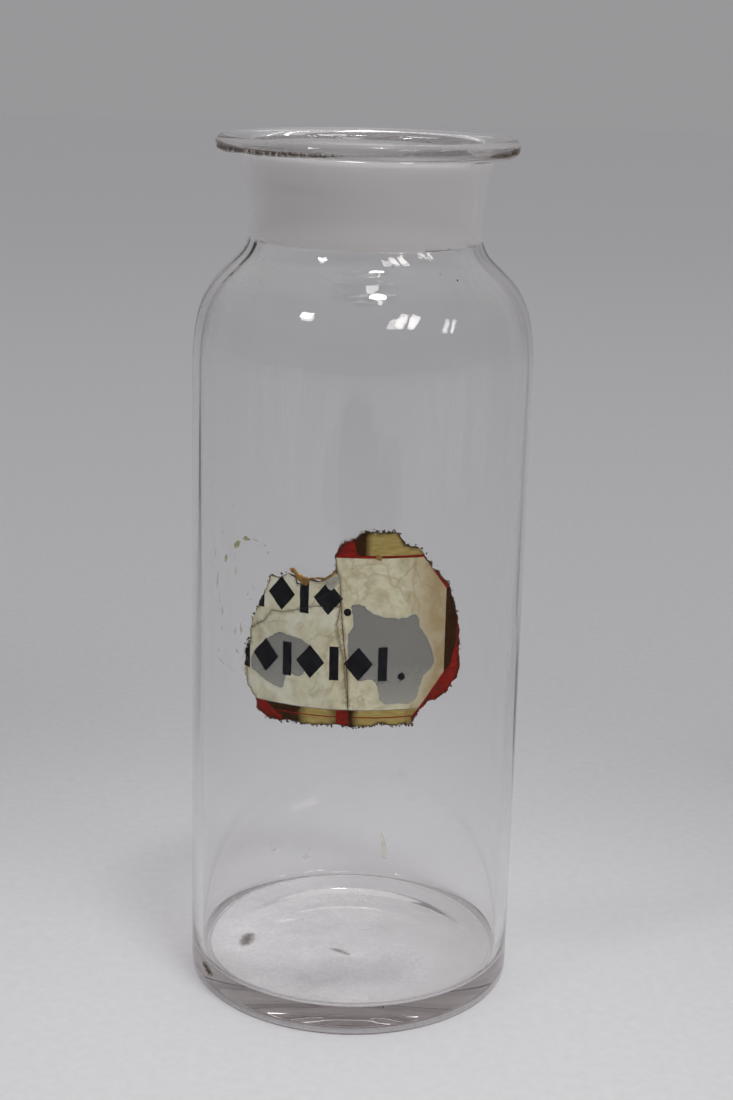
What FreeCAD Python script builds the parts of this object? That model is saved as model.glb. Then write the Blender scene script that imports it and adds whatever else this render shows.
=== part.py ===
import FreeCAD, Part
import math
import os
import re

import Sketcher

# A wide-mouthed blown glass jar with what is left of a curved label under glass on its front.
# Millimetres. The origin is on the jar's axis at the plane it stands on, +Z is up, and the label faces -Y.
# The label's own coordinates are (across, up): the arc from the jar's front line, positive towards +X,
# and the height above the label's middle.

SIZES = {
    # Jar, outside
    "jar_height": 235.0,
    "body_radius": 45.4,
    "heel_radius": 2.0,
    "shoulder_start": 176.0,
    "soft_radius": 58.0,
    "soft_turn": 12.0,
    "shoulder_radius": 22.0,
    "shoulder_slope": 46.0,
    "neck_foot_radius": 10.5,
    "neck_radius": 30.5,
    "flare_turn": 15.7,
    "lip_root_radius": 2.4,
    "lip_radius": 39.4,
    "lip_thickness": 4.2,
    "lip_edge_radius": 1.9,
    # Jar, inside
    "wall": 2.9,
    "floor_thickness": 7.5,
    "inner_heel_radius": 2.5,
    "seat_foot": 208.0,
    "seat_foot_radius": 28.3,
    "seat_top": 232.0,
    "seat_top_radius": 29.5,
    "mouth_rounding": 2.6,
    "mouth_radius": 31.9,
    "dish_depth": 0.7,
    # Underside
    "ring_inner_radius": 37.0,
    "push_up": 2.6,
    # Label
    "label_middle": 115.5,
    "cement_thickness": 0.25,
    "paint_thickness": 0.1,
    "mark_thickness": 0.05,
    "pane_thickness": 0.9,
    "residue_thickness": 0.15,
    "cream_top": 18.7,
    "cream_bottom": -21.5,
    "cream_right": 24.0,
    "cream_clip_across": 7.0,
    "cream_clip_up": 9.0,
    "gold_top_start": 19.4,
    "gold_bottom_start": -21.7,
    "gold_right_end": 27.6,
    "pinstripe_middle": -23.6,
    "pinstripe_width": 0.3,
    "mark_height": 9.0,
    "bar_width": 2.4,
    "lozenge_width": 7.6,
    "dot_width": 2.0,
    "mark_pitch": 6.3,
    "upper_row_middle": 8.0,
    "upper_row_start": -26.3,
    "lower_row_middle": -9.2,
    "lower_row_start": -30.8,
    "prism_reach": 60.0,
}

doc = FreeCAD.newDocument("apothecary_jar")
sheet = doc.addObject("Spreadsheet::Sheet", "Sizes")
for row, (alias, number) in enumerate(SIZES.items(), start=1):
    sheet.set(f"A{row}", alias)
    sheet.set(f"B{row}", str(number))
    sheet.setAlias(f"B{row}", alias)
doc.recompute()


def size(alias):
    return float(sheet.get(alias))


def bound(formula):
    """The formula with each alias written as a reference to its cell."""
    return re.sub(r"[a-z]+(?:_[a-z]+)+|\bwall\b", lambda found: "Sizes." + found.group(), formula)


def worth(formula):
    return float(sheet.evalExpression(bound(formula)))


# --- Sketches -------------------------------------------------------------------------------------------


def body_plane(body, role):
    return next(plane for plane in body.Origin.OriginFeatures if plane.Role == role)


def arc_centre(start, end, radius, clockwise):
    chord = end - start
    middle = (start + end) * 0.5
    rise = math.sqrt(radius**2 - (chord.Length / 2) ** 2)
    side = FreeCAD.Vector(-chord.y, chord.x, 0).normalize()
    return middle + side * (-rise if clockwise else rise)


def draw_profile(sketch, corners):
    """A closed half-section. Each corner is (radius, height) as formulas, and a corner reached along an arc
    adds that arc's radius and its direction of travel."""
    points = [FreeCAD.Vector(worth(corner[0]), worth(corner[1]), 0) for corner in corners]
    ends = []
    for index, corner in enumerate(corners):
        start = points[index - 1]
        end = points[index]
        if len(corner) == 2:
            edge = sketch.addGeometry(Part.LineSegment(start, end))
            ends.append((edge, 1, 2))
            continue
        radius = worth(corner[2])
        clockwise = corner[3] == "clockwise"
        centre = arc_centre(start, end, radius, clockwise)
        circle = Part.Circle(centre, FreeCAD.Vector(0, 0, 1), radius)
        first = math.atan2(start.y - centre.y, start.x - centre.x)
        last = math.atan2(end.y - centre.y, end.x - centre.x)
        if clockwise:
            edge = sketch.addGeometry(Part.ArcOfCircle(circle, last, first))
            ends.append((edge, 2, 1))
        else:
            edge = sketch.addGeometry(Part.ArcOfCircle(circle, first, last))
            ends.append((edge, 1, 2))
        bind_length(sketch, Sketcher.Constraint("Radius", edge, radius), corner[2])
    for index, (edge, _, finish) in enumerate(ends):
        after, begin, _ = ends[(index + 1) % len(ends)]
        sketch.addConstraint(Sketcher.Constraint("Coincident", edge, finish, after, begin))
        place_end(sketch, "DistanceX", edge, finish, points[index].x, corners[index][0])
        place_end(sketch, "DistanceY", edge, finish, points[index].y, corners[index][1])


def bind_length(sketch, constraint, formula):
    number = sketch.addConstraint(constraint)
    sketch.setExpression(f"Constraints[{number}]", bound(formula))


def place_end(sketch, direction, edge, end, value, formula):
    """Puts an end of an edge on an axis of the sketch, or at a bound distance from it."""
    if abs(value) > 1e-9:
        bind_length(sketch, Sketcher.Constraint(direction, edge, end, value), formula)
        return
    axis = -2 if direction == "DistanceX" else -1
    sketch.addConstraint(Sketcher.Constraint("PointOnObject", edge, end, axis))


def revolve(body, kind, name, corners):
    sketch = body.newObject("Sketcher::SketchObject", name + "_sketch")
    sketch.AttachmentSupport = [(body_plane(body, "XZ_Plane"), "")]
    sketch.MapMode = "FlatFace"
    draw_profile(sketch, corners)
    feature = body.newObject("PartDesign::" + kind, name)
    feature.Profile = sketch
    feature.ReferenceAxis = (sketch, ["V_Axis"])
    feature.Angle = 360
    body.Tip = feature
    doc.recompute()
    return feature


# --- Jar ------------------------------------------------------------------------------------------------

# The shoulder is two arcs that turn inwards, a short slope, and an arc that turns up into the neck.
SOFT_CENTRE = "(body_radius - soft_radius)"
HARD_ACROSS = f"({SOFT_CENTRE} + (soft_radius - shoulder_radius) * cos(soft_turn))"
HARD_UP = "(shoulder_start + (soft_radius - shoulder_radius) * sin(soft_turn))"
FOOT_ACROSS = "(neck_radius + neck_foot_radius)"
SLOPE_RUN = f"({FOOT_ACROSS} - {HARD_ACROSS} - (shoulder_radius + neck_foot_radius) * cos(shoulder_slope))"
FOOT_UP = (
    f"({HARD_UP} + (shoulder_radius + neck_foot_radius) * sin(shoulder_slope)"
    f" - {SLOPE_RUN} / tan(shoulder_slope))"
)


def shoulder(depth):
    """The corners from the top of the straight wall to the neck's waist, depth inside the outer surface."""
    soft = f"(soft_radius - {depth})"
    hard = f"(shoulder_radius - {depth})"
    foot = f"(neck_foot_radius + {depth})"
    return [
        (f"body_radius - {depth}", "shoulder_start"),
        (
            f"{SOFT_CENTRE} + {soft} * cos(soft_turn)",
            f"shoulder_start + {soft} * sin(soft_turn)",
            soft,
            "anticlockwise",
        ),
        (
            f"{HARD_ACROSS} + {hard} * cos(shoulder_slope)",
            f"{HARD_UP} + {hard} * sin(shoulder_slope)",
            hard,
            "anticlockwise",
        ),
        (
            f"{FOOT_ACROSS} - {foot} * cos(shoulder_slope)",
            f"{FOOT_UP} - {foot} * sin(shoulder_slope)",
        ),
        (f"{FOOT_ACROSS} - {foot}", FOOT_UP, foot, "clockwise"),
    ]


LIP_UNDER = "(jar_height - lip_thickness)"
FLARE_UP = f"({LIP_UNDER} - lip_root_radius * (1 - sin(flare_turn)))"
FLARE_RADIUS = f"(({FLARE_UP} - {FOOT_UP}) / sin(flare_turn))"
FLARE_ACROSS = f"(neck_radius + {FLARE_RADIUS} * (1 - cos(flare_turn)))"


def make_jar():
    body = doc.addObject("PartDesign::Body", "jar_glass")
    body.Label = "jar_glass"
    outside = [("0", "jar_height"), ("0", "0"), ("body_radius - heel_radius", "0")]
    outside.append(("body_radius", "heel_radius", "heel_radius", "anticlockwise"))
    outside += shoulder("0")
    outside += [
        (FLARE_ACROSS, FLARE_UP, FLARE_RADIUS, "clockwise"),
        (
            f"{FLARE_ACROSS} + lip_root_radius * cos(flare_turn)",
            LIP_UNDER,
            "lip_root_radius",
            "clockwise",
        ),
        ("lip_radius - lip_edge_radius", LIP_UNDER),
        ("lip_radius", f"{LIP_UNDER} + lip_edge_radius", "lip_edge_radius", "anticlockwise"),
        ("lip_radius", "jar_height - lip_edge_radius"),
        ("lip_radius - lip_edge_radius", "jar_height", "lip_edge_radius", "anticlockwise"),
    ]
    revolve(body, "Revolution", "outside", outside)

    cavity = [
        ("0", "seat_top"),
        ("0", "floor_thickness"),
        ("body_radius - wall - inner_heel_radius", "floor_thickness"),
        (
            "body_radius - wall",
            "floor_thickness + inner_heel_radius",
            "inner_heel_radius",
            "anticlockwise",
        ),
    ]
    cavity += shoulder("wall")
    cavity.append(("neck_radius - wall", "seat_top"))
    revolve(body, "Groove", "cavity", cavity)

    seat = [
        ("0", "jar_height"),
        ("0", "seat_foot"),
        ("seat_foot_radius", "seat_foot"),
        ("seat_top_radius", "seat_top"),
        ("mouth_radius", "jar_height - dish_depth", "mouth_rounding", "clockwise"),
        ("lip_radius - lip_edge_radius", "jar_height"),
    ]
    revolve(body, "Groove", "ground_seat", seat)

    hollow_radius = "((ring_inner_radius ^ 2 + push_up ^ 2) / (2 * push_up))"
    hollow = [("0", "push_up", hollow_radius, "anticlockwise"), ("0", "0"), ("ring_inner_radius", "0")]
    revolve(body, "Groove", "push_up_hollow", hollow)
    return body


# --- Label shards ---------------------------------------------------------------------------------------

CRACK_TOP = [(-5.7, 19.0), (-5.5, 16.2), (-4.5, 13.5), (-4.1, 8.0)]
CRACK_RIGHT = [(-3.7, 2.5), (-3.1, -4.0), (-2.4, -9.0), (-2.0, -14.0), (-1.7, -21.0)]
CRACK_LEFT = [(-5.2, 0.6), (-4.3, -4.0), (-3.0, -9.0), (-2.6, -14.0)]
CRACK_BOTTOM = [(-1.7, -21.0), (-1.5, -26.0)]
CRACK_LEVEL = [
    (-29.3, -2.8), (-25.1, 0.0), (-22.8, 3.0), (-20.0, 3.0), (-16.5, 3.9), (-10.7, 5.7), (-4.2, 6.0),
]
CRACK_CHIP = [(-29.5, -5.7), (-30.2, -8.0), (-30.3, -12.0), (-30.6, -17.4)]

RIGHT_EDGE = [
    (0.5, -26.2), (3.6, -26.0), (6.7, -25.1), (11.3, -25.8), (15.1, -25.8), (15.8, -24.2), (17.7, -22.0),
    (19.3, -20.3), (22.3, -19.8), (25.4, -17.9), (27.5, -15.3), (28.8, -11.7), (28.7, -4.0), (27.3, 2.7),
    (25.3, 9.1), (24.7, 11.0), (22.0, 14.0), (19.4, 16.3), (17.0, 19.7), (15.0, 21.2), (12.2, 21.8),
    (10.2, 24.7), (8.7, 25.5), (5.4, 25.4), (0.9, 25.3), (-0.3, 23.4), (-3.3, 23.0), (-4.8, 21.5),
]
TORN_EDGE = [
    (-5.8, 15.0), (-7.9, 12.7), (-10.2, 12.0), (-12.3, 12.3), (-13.8, 11.0), (-15.9, 10.9), (-16.2, 12.5),
    (-18.4, 13.4), (-20.6, 11.7), (-23.1, 12.0),
]
UPPER_LEFT_EDGE = [(-24.2, 9.5), (-25.2, 7.4), (-26.8, 3.4), (-28.2, 1.2), (-28.7, -0.7)]
CHIP_EDGE = [(-31.9, -15.8), (-32.2, -13.9), (-31.9, -12.4), (-31.6, -9.5), (-31.0, -6.7)]
LOWER_LEFT_EDGE = [
    (-4.9, -25.7), (-9.5, -25.9), (-15.1, -26.1), (-22.7, -26.2), (-24.8, -25.7), (-26.8, -24.2),
    (-27.6, -22.0), (-28.8, -19.8),
]
CEMENT_CHIP = [(-12.3, 12.3), (-16.7, 14.8), (-17.9, 13.9), (-16.2, 12.0), (-13.8, 10.5)]

SHARDS = {
    "label_pane_right": CRACK_TOP + CRACK_RIGHT + CRACK_BOTTOM[1:] + RIGHT_EDGE,
    "label_pane_upper_left": CRACK_LEVEL + CRACK_TOP[:1:-1] + TORN_EDGE + UPPER_LEFT_EDGE,
    "label_pane_lower_left": (
        CRACK_LEVEL + CRACK_LEFT + CRACK_BOTTOM + LOWER_LEFT_EDGE + CRACK_CHIP[::-1]
    ),
    "label_pane_sliver": CRACK_TOP[3:] + CRACK_RIGHT + CRACK_LEFT[::-1] + CRACK_LEVEL[-1:],
    "label_pane_chip": CRACK_CHIP + CHIP_EDGE,
}

LOST_RIGHT = [
    (-2.1, 6.8), (0.6, 6.6), (2.8, 5.3), (4.9, 3.7), (8.7, 2.8), (12.8, 2.9), (15.8, 4.1), (16.9, 0.3),
    (18.7, -2.7), (20.8, -7.7), (20.7, -11.0), (17.6, -13.4), (16.7, -16.7), (16.1, -20.4), (6.6, -20.2),
    (6.1, -16.5), (4.6, -12.7), (1.1, -14.1), (-0.8, -10.4), (-2.3, -5.8), (-2.4, -2.0), (-0.6, 0.8),
]
LOST_LEFT = [
    (-20.4, -1.8), (-16.4, -3.3), (-13.6, -3.6), (-11.2, -5.9), (-12.1, -10.3), (-14.8, -13.9),
    (-17.8, -12.9), (-18.7, -15.0), (-19.2, -17.2), (-22.2, -17.3), (-26.6, -15.0), (-29.2, -13.7),
    (-29.4, -10.4), (-25.0, -5.2),
]

# --- Label solids ---------------------------------------------------------------------------------------

PAINT_BACK = "body_radius + cement_thickness"
PAINT_FACE = f"{PAINT_BACK} + paint_thickness"
MARK_BACK = f"{PAINT_FACE} - mark_thickness"
PANE_FACE = f"{PAINT_FACE} + pane_thickness"
FAR_LEFT = "-40"
FAR_DOWN = "-30"
FAR_UP = "30"


def wrapped(across):
    """The sideways distance of a point that lies this arc from the front line of the pane's face."""
    return f"({PANE_FACE}) * sin(({across}) / ({PANE_FACE}) * 180 / pi)"


def prism(name, outlines):
    """A prism towards -Y with each outline, given in the label's coordinates, as its section."""
    sketch = doc.addObject("Sketcher::SketchObject", name + "_sketch")
    sketch.Placement = FreeCAD.Placement(FreeCAD.Vector(), FreeCAD.Rotation(FreeCAD.Vector(1, 0, 0), 90))
    for outline in outlines:
        draw_profile(sketch, [(wrapped(across), str(up)) for across, up in outline])
    extrusion = doc.addObject("Part::Extrusion", name + "_prism")
    extrusion.Base = sketch
    extrusion.DirMode = "Normal"
    extrusion.Solid = True
    extrusion.setExpression("LengthFwd", bound("prism_reach"))
    return extrusion


def shell(name, inner, outer):
    """The tube between two radii about the jar's axis, as tall as the label's prisms and more."""
    tubes = []
    for part, radius in (("outer", outer), ("inner", inner)):
        cylinder = doc.addObject("Part::Cylinder", f"{name}_{part}")
        cylinder.setExpression("Radius", bound(radius))
        cylinder.setExpression("Height", bound("prism_reach"))
        cylinder.setExpression("Placement.Base.z", bound("prism_reach") + " / -2")
        tubes.append(cylinder)
    tube = doc.addObject("Part::Cut", name)
    tube.Base, tube.Tool = tubes
    return tube


def common(name, *solids):
    piece = doc.addObject("Part::MultiCommon", name)
    piece.Shapes = list(solids)
    return piece


def cut(name, base, *tools):
    tool = tools[0]
    if len(tools) > 1:
        tool = doc.addObject("Part::MultiFuse", name + "_tools")
        tool.Shapes = list(tools)
    piece = doc.addObject("Part::Cut", name)
    piece.Base = base
    piece.Tool = tool
    return piece


def finish(piece, label):
    """Raises a label piece to the label's height on the jar and gives it its own name."""
    piece.Label = label
    piece.setExpression("Placement.Base.z", bound("label_middle"))
    return piece


def box(left, down, right, up):
    return [(left, down), (right, down), (right, up), (left, up)]


def lozenge(middle, height, width):
    half = f"({width}) / 2"
    rise = f"({height}) / 2"
    return [
        (f"{middle[0]} - {half}", middle[1]),
        (middle[0], f"{middle[1]} - {rise}"),
        (f"{middle[0]} + {half}", middle[1]),
        (middle[0], f"{middle[1]} + {rise}"),
    ]


def bar(middle):
    return box(
        f"{middle[0]} - bar_width / 2",
        f"{middle[1]} - mark_height / 2",
        f"{middle[0]} + bar_width / 2",
        f"{middle[1]} + mark_height / 2",
    )


def mark_row(start, middle, count):
    """Bars and lozenges in turn, and a small lozenge that ends the row on its base line."""
    marks = []
    for index in range(count):
        place = (f"{start} + {index} * mark_pitch", middle)
        marks.append(lozenge(place, "mark_height", "lozenge_width") if index % 2 else bar(place))
    last = f"{start} + {count - 0.2} * mark_pitch"
    marks.append(lozenge((last, f"{middle} - mark_height / 2 + dot_width / 2"), "dot_width", "dot_width"))
    return marks


def make_label():
    shard_prisms = {name: prism(name, [outline]) for name, outline in SHARDS.items()}
    pane_shell = shell("pane_shell", PAINT_FACE, PANE_FACE)
    paint_shell = shell("paint_shell", PAINT_BACK, PAINT_FACE)
    mark_shell = shell("mark_shell", MARK_BACK, PAINT_FACE)
    cement_shell = shell("cement_shell", "body_radius", PAINT_BACK)
    pieces = []
    for name, solid in shard_prisms.items():
        pieces.append(finish(common(f"{name}_piece", pane_shell, solid), name))

    survivors = doc.addObject("Part::MultiFuse", "survivors")
    survivors.Shapes = list(shard_prisms.values())
    lost = prism("lost_patches", [LOST_RIGHT, LOST_LEFT])

    upper_marks = prism("upper_marks", mark_row("upper_row_start", "upper_row_middle", 4))
    lower_marks = prism("lower_marks", mark_row("lower_row_start", "lower_row_middle", 7))
    upper = common("upper_row", mark_shell, survivors, upper_marks)
    lower = common("lower_row", mark_shell, survivors, lower_marks)

    octagon = [
        (FAR_LEFT, "cream_top"),
        ("cream_right - cream_clip_across", "cream_top"),
        ("cream_right", "cream_top - cream_clip_up"),
        ("cream_right", "cream_bottom + cream_clip_up"),
        ("cream_right - cream_clip_across", "cream_bottom"),
        (FAR_LEFT, "cream_bottom"),
    ]
    cream_area = common("cream_area", paint_shell, survivors, prism("octagon", [octagon]))
    cream = cut("cream_piece", cream_area, lost, upper, lower)

    top_red = [(FAR_LEFT, "gold_top_start"), ("-0.1", "gold_top_start"), ("-0.9", "22.4"), ("-1.2", FAR_UP)]
    top_red.append((FAR_LEFT, FAR_UP))
    top_line = [(FAR_LEFT, "cream_top"), ("cream_right - cream_clip_across", "cream_top")]
    top_line += [("cream_right - cream_clip_across + 0.6", "gold_top_start"), (FAR_LEFT, "gold_top_start")]
    upper_corner = [
        ("cream_right - cream_clip_across", "cream_top"),
        ("cream_right", "cream_top - cream_clip_up"),
        ("25.9", "10.4"),
        ("25.9", FAR_UP),
        ("16.0", FAR_UP),
        ("cream_right - cream_clip_across + 0.6", "gold_top_start"),
    ]
    right_rim = [
        ("cream_right", "cream_bottom + cream_clip_up"),
        ("25.9", "-11.0"),
        ("gold_right_end", "-5.0"),
        ("gold_right_end", "2.7"),
        ("25.9", "9.0"),
        ("30", "9.0"),
        ("30", FAR_DOWN),
        ("16.0", FAR_DOWN),
        ("15.0", "cream_bottom - 2.2"),
        ("cream_right - cream_clip_across", "cream_bottom"),
    ]
    bottom_block = box("-4.8", FAR_DOWN, "-1.7", "gold_bottom_start")
    left_corner = [(FAR_LEFT, "gold_bottom_start"), ("-24.6", "gold_bottom_start")]
    left_corner += [("-19.6", "-25.0"), ("-18.0", FAR_DOWN), (FAR_LEFT, FAR_DOWN)]
    pinstripe = box(
        "-21.0",
        "pinstripe_middle - pinstripe_width / 2",
        "15.0",
        "pinstripe_middle + pinstripe_width / 2",
    )

    patches = prism("red_patches", [top_red])
    corners = prism("red_corners", [upper_corner])
    rim = prism("red_rim", [right_rim])
    lower_red = prism("lower_red", [bottom_block, left_corner])
    all_red = doc.addObject("Part::MultiFuse", "all_red")
    all_red.Shapes = [patches, corners, rim, lower_red]
    red = common("red_piece", paint_shell, survivors, all_red)
    line_area = doc.addObject("Part::MultiFuse", "line_area")
    line_area.Shapes = [prism("top_line", [top_line]), prism("pinstripe", [pinstripe])]
    lines = cut("lines_piece", common("lines_all", paint_shell, survivors, line_area), all_red)

    top_band = box(FAR_LEFT, "gold_top_start", "30", FAR_UP)
    right_band = box("cream_right", "cream_bottom", "30", "cream_top")
    bottom_band = box(FAR_LEFT, FAR_DOWN, "30", "gold_bottom_start")
    for name, outline in (("top", top_band), ("right", right_band), ("bottom", bottom_band)):
        band = common(f"gold_{name}_band", paint_shell, survivors, prism(f"gold_{name}", [outline]))
        pieces.append(finish(cut(f"gold_{name}_piece", band, all_red, line_area), f"gold_border_{name}"))

    bedding = doc.addObject("Part::MultiFuse", "bedding")
    bedding.Shapes = [survivors, prism("bare_cement", [CEMENT_CHIP])]
    cement = common("cement_piece", cement_shell, bedding)

    flecks = prism("flecks", [fleck(*place) for place in FLECKS])
    residue_shell = shell("residue_shell", "body_radius", "body_radius + residue_thickness")
    pieces += [
        finish(cream, "cream_ground"),
        finish(red, "red_patches"),
        finish(lines, "red_lines"),
        finish(upper, "title_marks_upper"),
        finish(lower, "title_marks_lower"),
        finish(cement, "label_cement"),
        finish(common("residue_piece", residue_shell, flecks), "cement_residue"),
    ]
    return pieces


# Flecks of cement along the edge of the lost part: across, up, length, width, and the turn of its length.
FLECKS = [
    (-37.3, 14.5, 2.6, 0.8, 75.0),
    (-34.2, 18.2, 3.4, 1.0, 50.0),
    (-30.8, 20.6, 2.6, 0.9, 10.0),
    (-27.0, 20.2, 2.0, 0.5, -10.0),
    (-39.8, 10.6, 2.2, 0.5, 75.0),
    (-39.9, -4.2, 1.8, 0.5, 80.0),
    (-33.9, 8.6, 1.6, 0.5, 60.0),
    (-32.4, -3.6, 3.0, 0.7, 95.0),
    (-33.6, -9.6, 1.8, 0.5, 80.0),
    (-36.8, -15.0, 2.2, 0.4, -25.0),
]


def fleck(across, up, length, width, turn):
    """A six-cornered sliver."""
    corners = [(0.5, 0.0), (0.2, 0.5), (-0.25, 0.45), (-0.5, 0.0), (-0.2, -0.5), (0.25, -0.4)]
    swing = math.radians(turn)
    outline = []
    for along, aside in corners:
        east = along * length * math.cos(swing) - aside * width * math.sin(swing)
        north = along * length * math.sin(swing) + aside * width * math.cos(swing)
        outline.append((round(across + east, 3), round(up + north, 3)))
    return outline


# --- Files ----------------------------------------------------------------------------------------------


def main():
    pieces = [make_jar()] + make_label()
    doc.recompute()
    for item in doc.Objects:
        if {"Invalid", "Error"} & set(item.State):
            raise RuntimeError(f"{item.Name} failed: {item.State}")
    os.makedirs("parts", exist_ok=True)
    for piece in pieces:
        if piece.Shape.isNull() or not piece.Shape.isValid():
            raise RuntimeError(f"{piece.Label} has no valid shape")
        piece.Shape.exportStep(os.path.join("parts", piece.Label + ".step"))
        solids = len(piece.Shape.Solids)
        print(f"{piece.Label}: {solids} solids, {piece.Shape.Volume:.2f} mm3")


main()
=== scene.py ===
import math
import random

import bmesh
import bpy
import numpy as np
from mathutils import Matrix, Quaternion, Vector, noise
from mathutils.geometry import delaunay_2d_cdt


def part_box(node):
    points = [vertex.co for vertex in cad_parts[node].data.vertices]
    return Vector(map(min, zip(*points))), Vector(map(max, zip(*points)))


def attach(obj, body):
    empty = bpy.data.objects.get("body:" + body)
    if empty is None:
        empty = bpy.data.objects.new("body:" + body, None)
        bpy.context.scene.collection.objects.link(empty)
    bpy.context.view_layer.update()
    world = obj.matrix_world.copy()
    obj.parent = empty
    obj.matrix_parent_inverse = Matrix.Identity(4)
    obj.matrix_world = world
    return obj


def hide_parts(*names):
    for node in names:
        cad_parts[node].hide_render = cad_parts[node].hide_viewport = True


# A blown glass jar with what is left of a curved label under glass on its front.
# The scene is in metres. Sizes below are in millimetres and are turned into metres by MM.
# The label's own coordinates are (across, up) in millimetres: the arc from the jar's front line,
# positive towards +X, and the height above the label's middle.

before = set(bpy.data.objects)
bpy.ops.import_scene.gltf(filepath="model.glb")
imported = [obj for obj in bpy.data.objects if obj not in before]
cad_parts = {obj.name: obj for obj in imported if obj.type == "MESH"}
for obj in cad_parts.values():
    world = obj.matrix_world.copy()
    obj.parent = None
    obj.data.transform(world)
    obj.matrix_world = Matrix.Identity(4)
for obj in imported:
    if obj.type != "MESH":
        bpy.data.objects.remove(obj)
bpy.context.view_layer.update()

noise.seed_set(5)  # without it, vector noise starts from the clock and differs from run to run

MM = 0.001
jar_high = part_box("jar_glass")[1]
pane_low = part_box("label_pane_right")[0]
HEIGHT = jar_high.z / MM
BODY = jar_high.x / MM
PANE_FACE = -pane_low.y / MM


def add(name, data):
    """An object in the scene that holds the data."""
    made = bpy.data.objects.new(name, data)
    bpy.context.scene.collection.objects.link(made)
    return made


def circle(count):
    """Angles evenly spaced around a circle."""
    return [2 * math.pi * step / count for step in range(count)]


# --- Camera ---

CAMERA_PLACE = Vector((0.0, -0.49872, 0.26385))
CAMERA_FORWARD = Vector((0.0043294, 0.96262085, -0.27081794))
CAMERA_RIGHT = Vector((0.99969487, 0.00241982, 0.02458275))
LENS = 61.83


def make_camera():
    data = bpy.data.cameras.new("camera")
    data.lens = LENS
    data.sensor_width = 36.0
    data.clip_start = 0.01
    data.clip_end = 20.0
    camera = add("camera", data)
    forward = CAMERA_FORWARD.normalized()
    right = (CAMERA_RIGHT - forward * CAMERA_RIGHT.dot(forward)).normalized()
    turn = Matrix((right, right.cross(forward), -forward)).transposed()
    camera.matrix_world = Matrix.Translation(CAMERA_PLACE) @ turn.to_4x4()
    bpy.context.scene.camera = camera


# --- Materials ---


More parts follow.
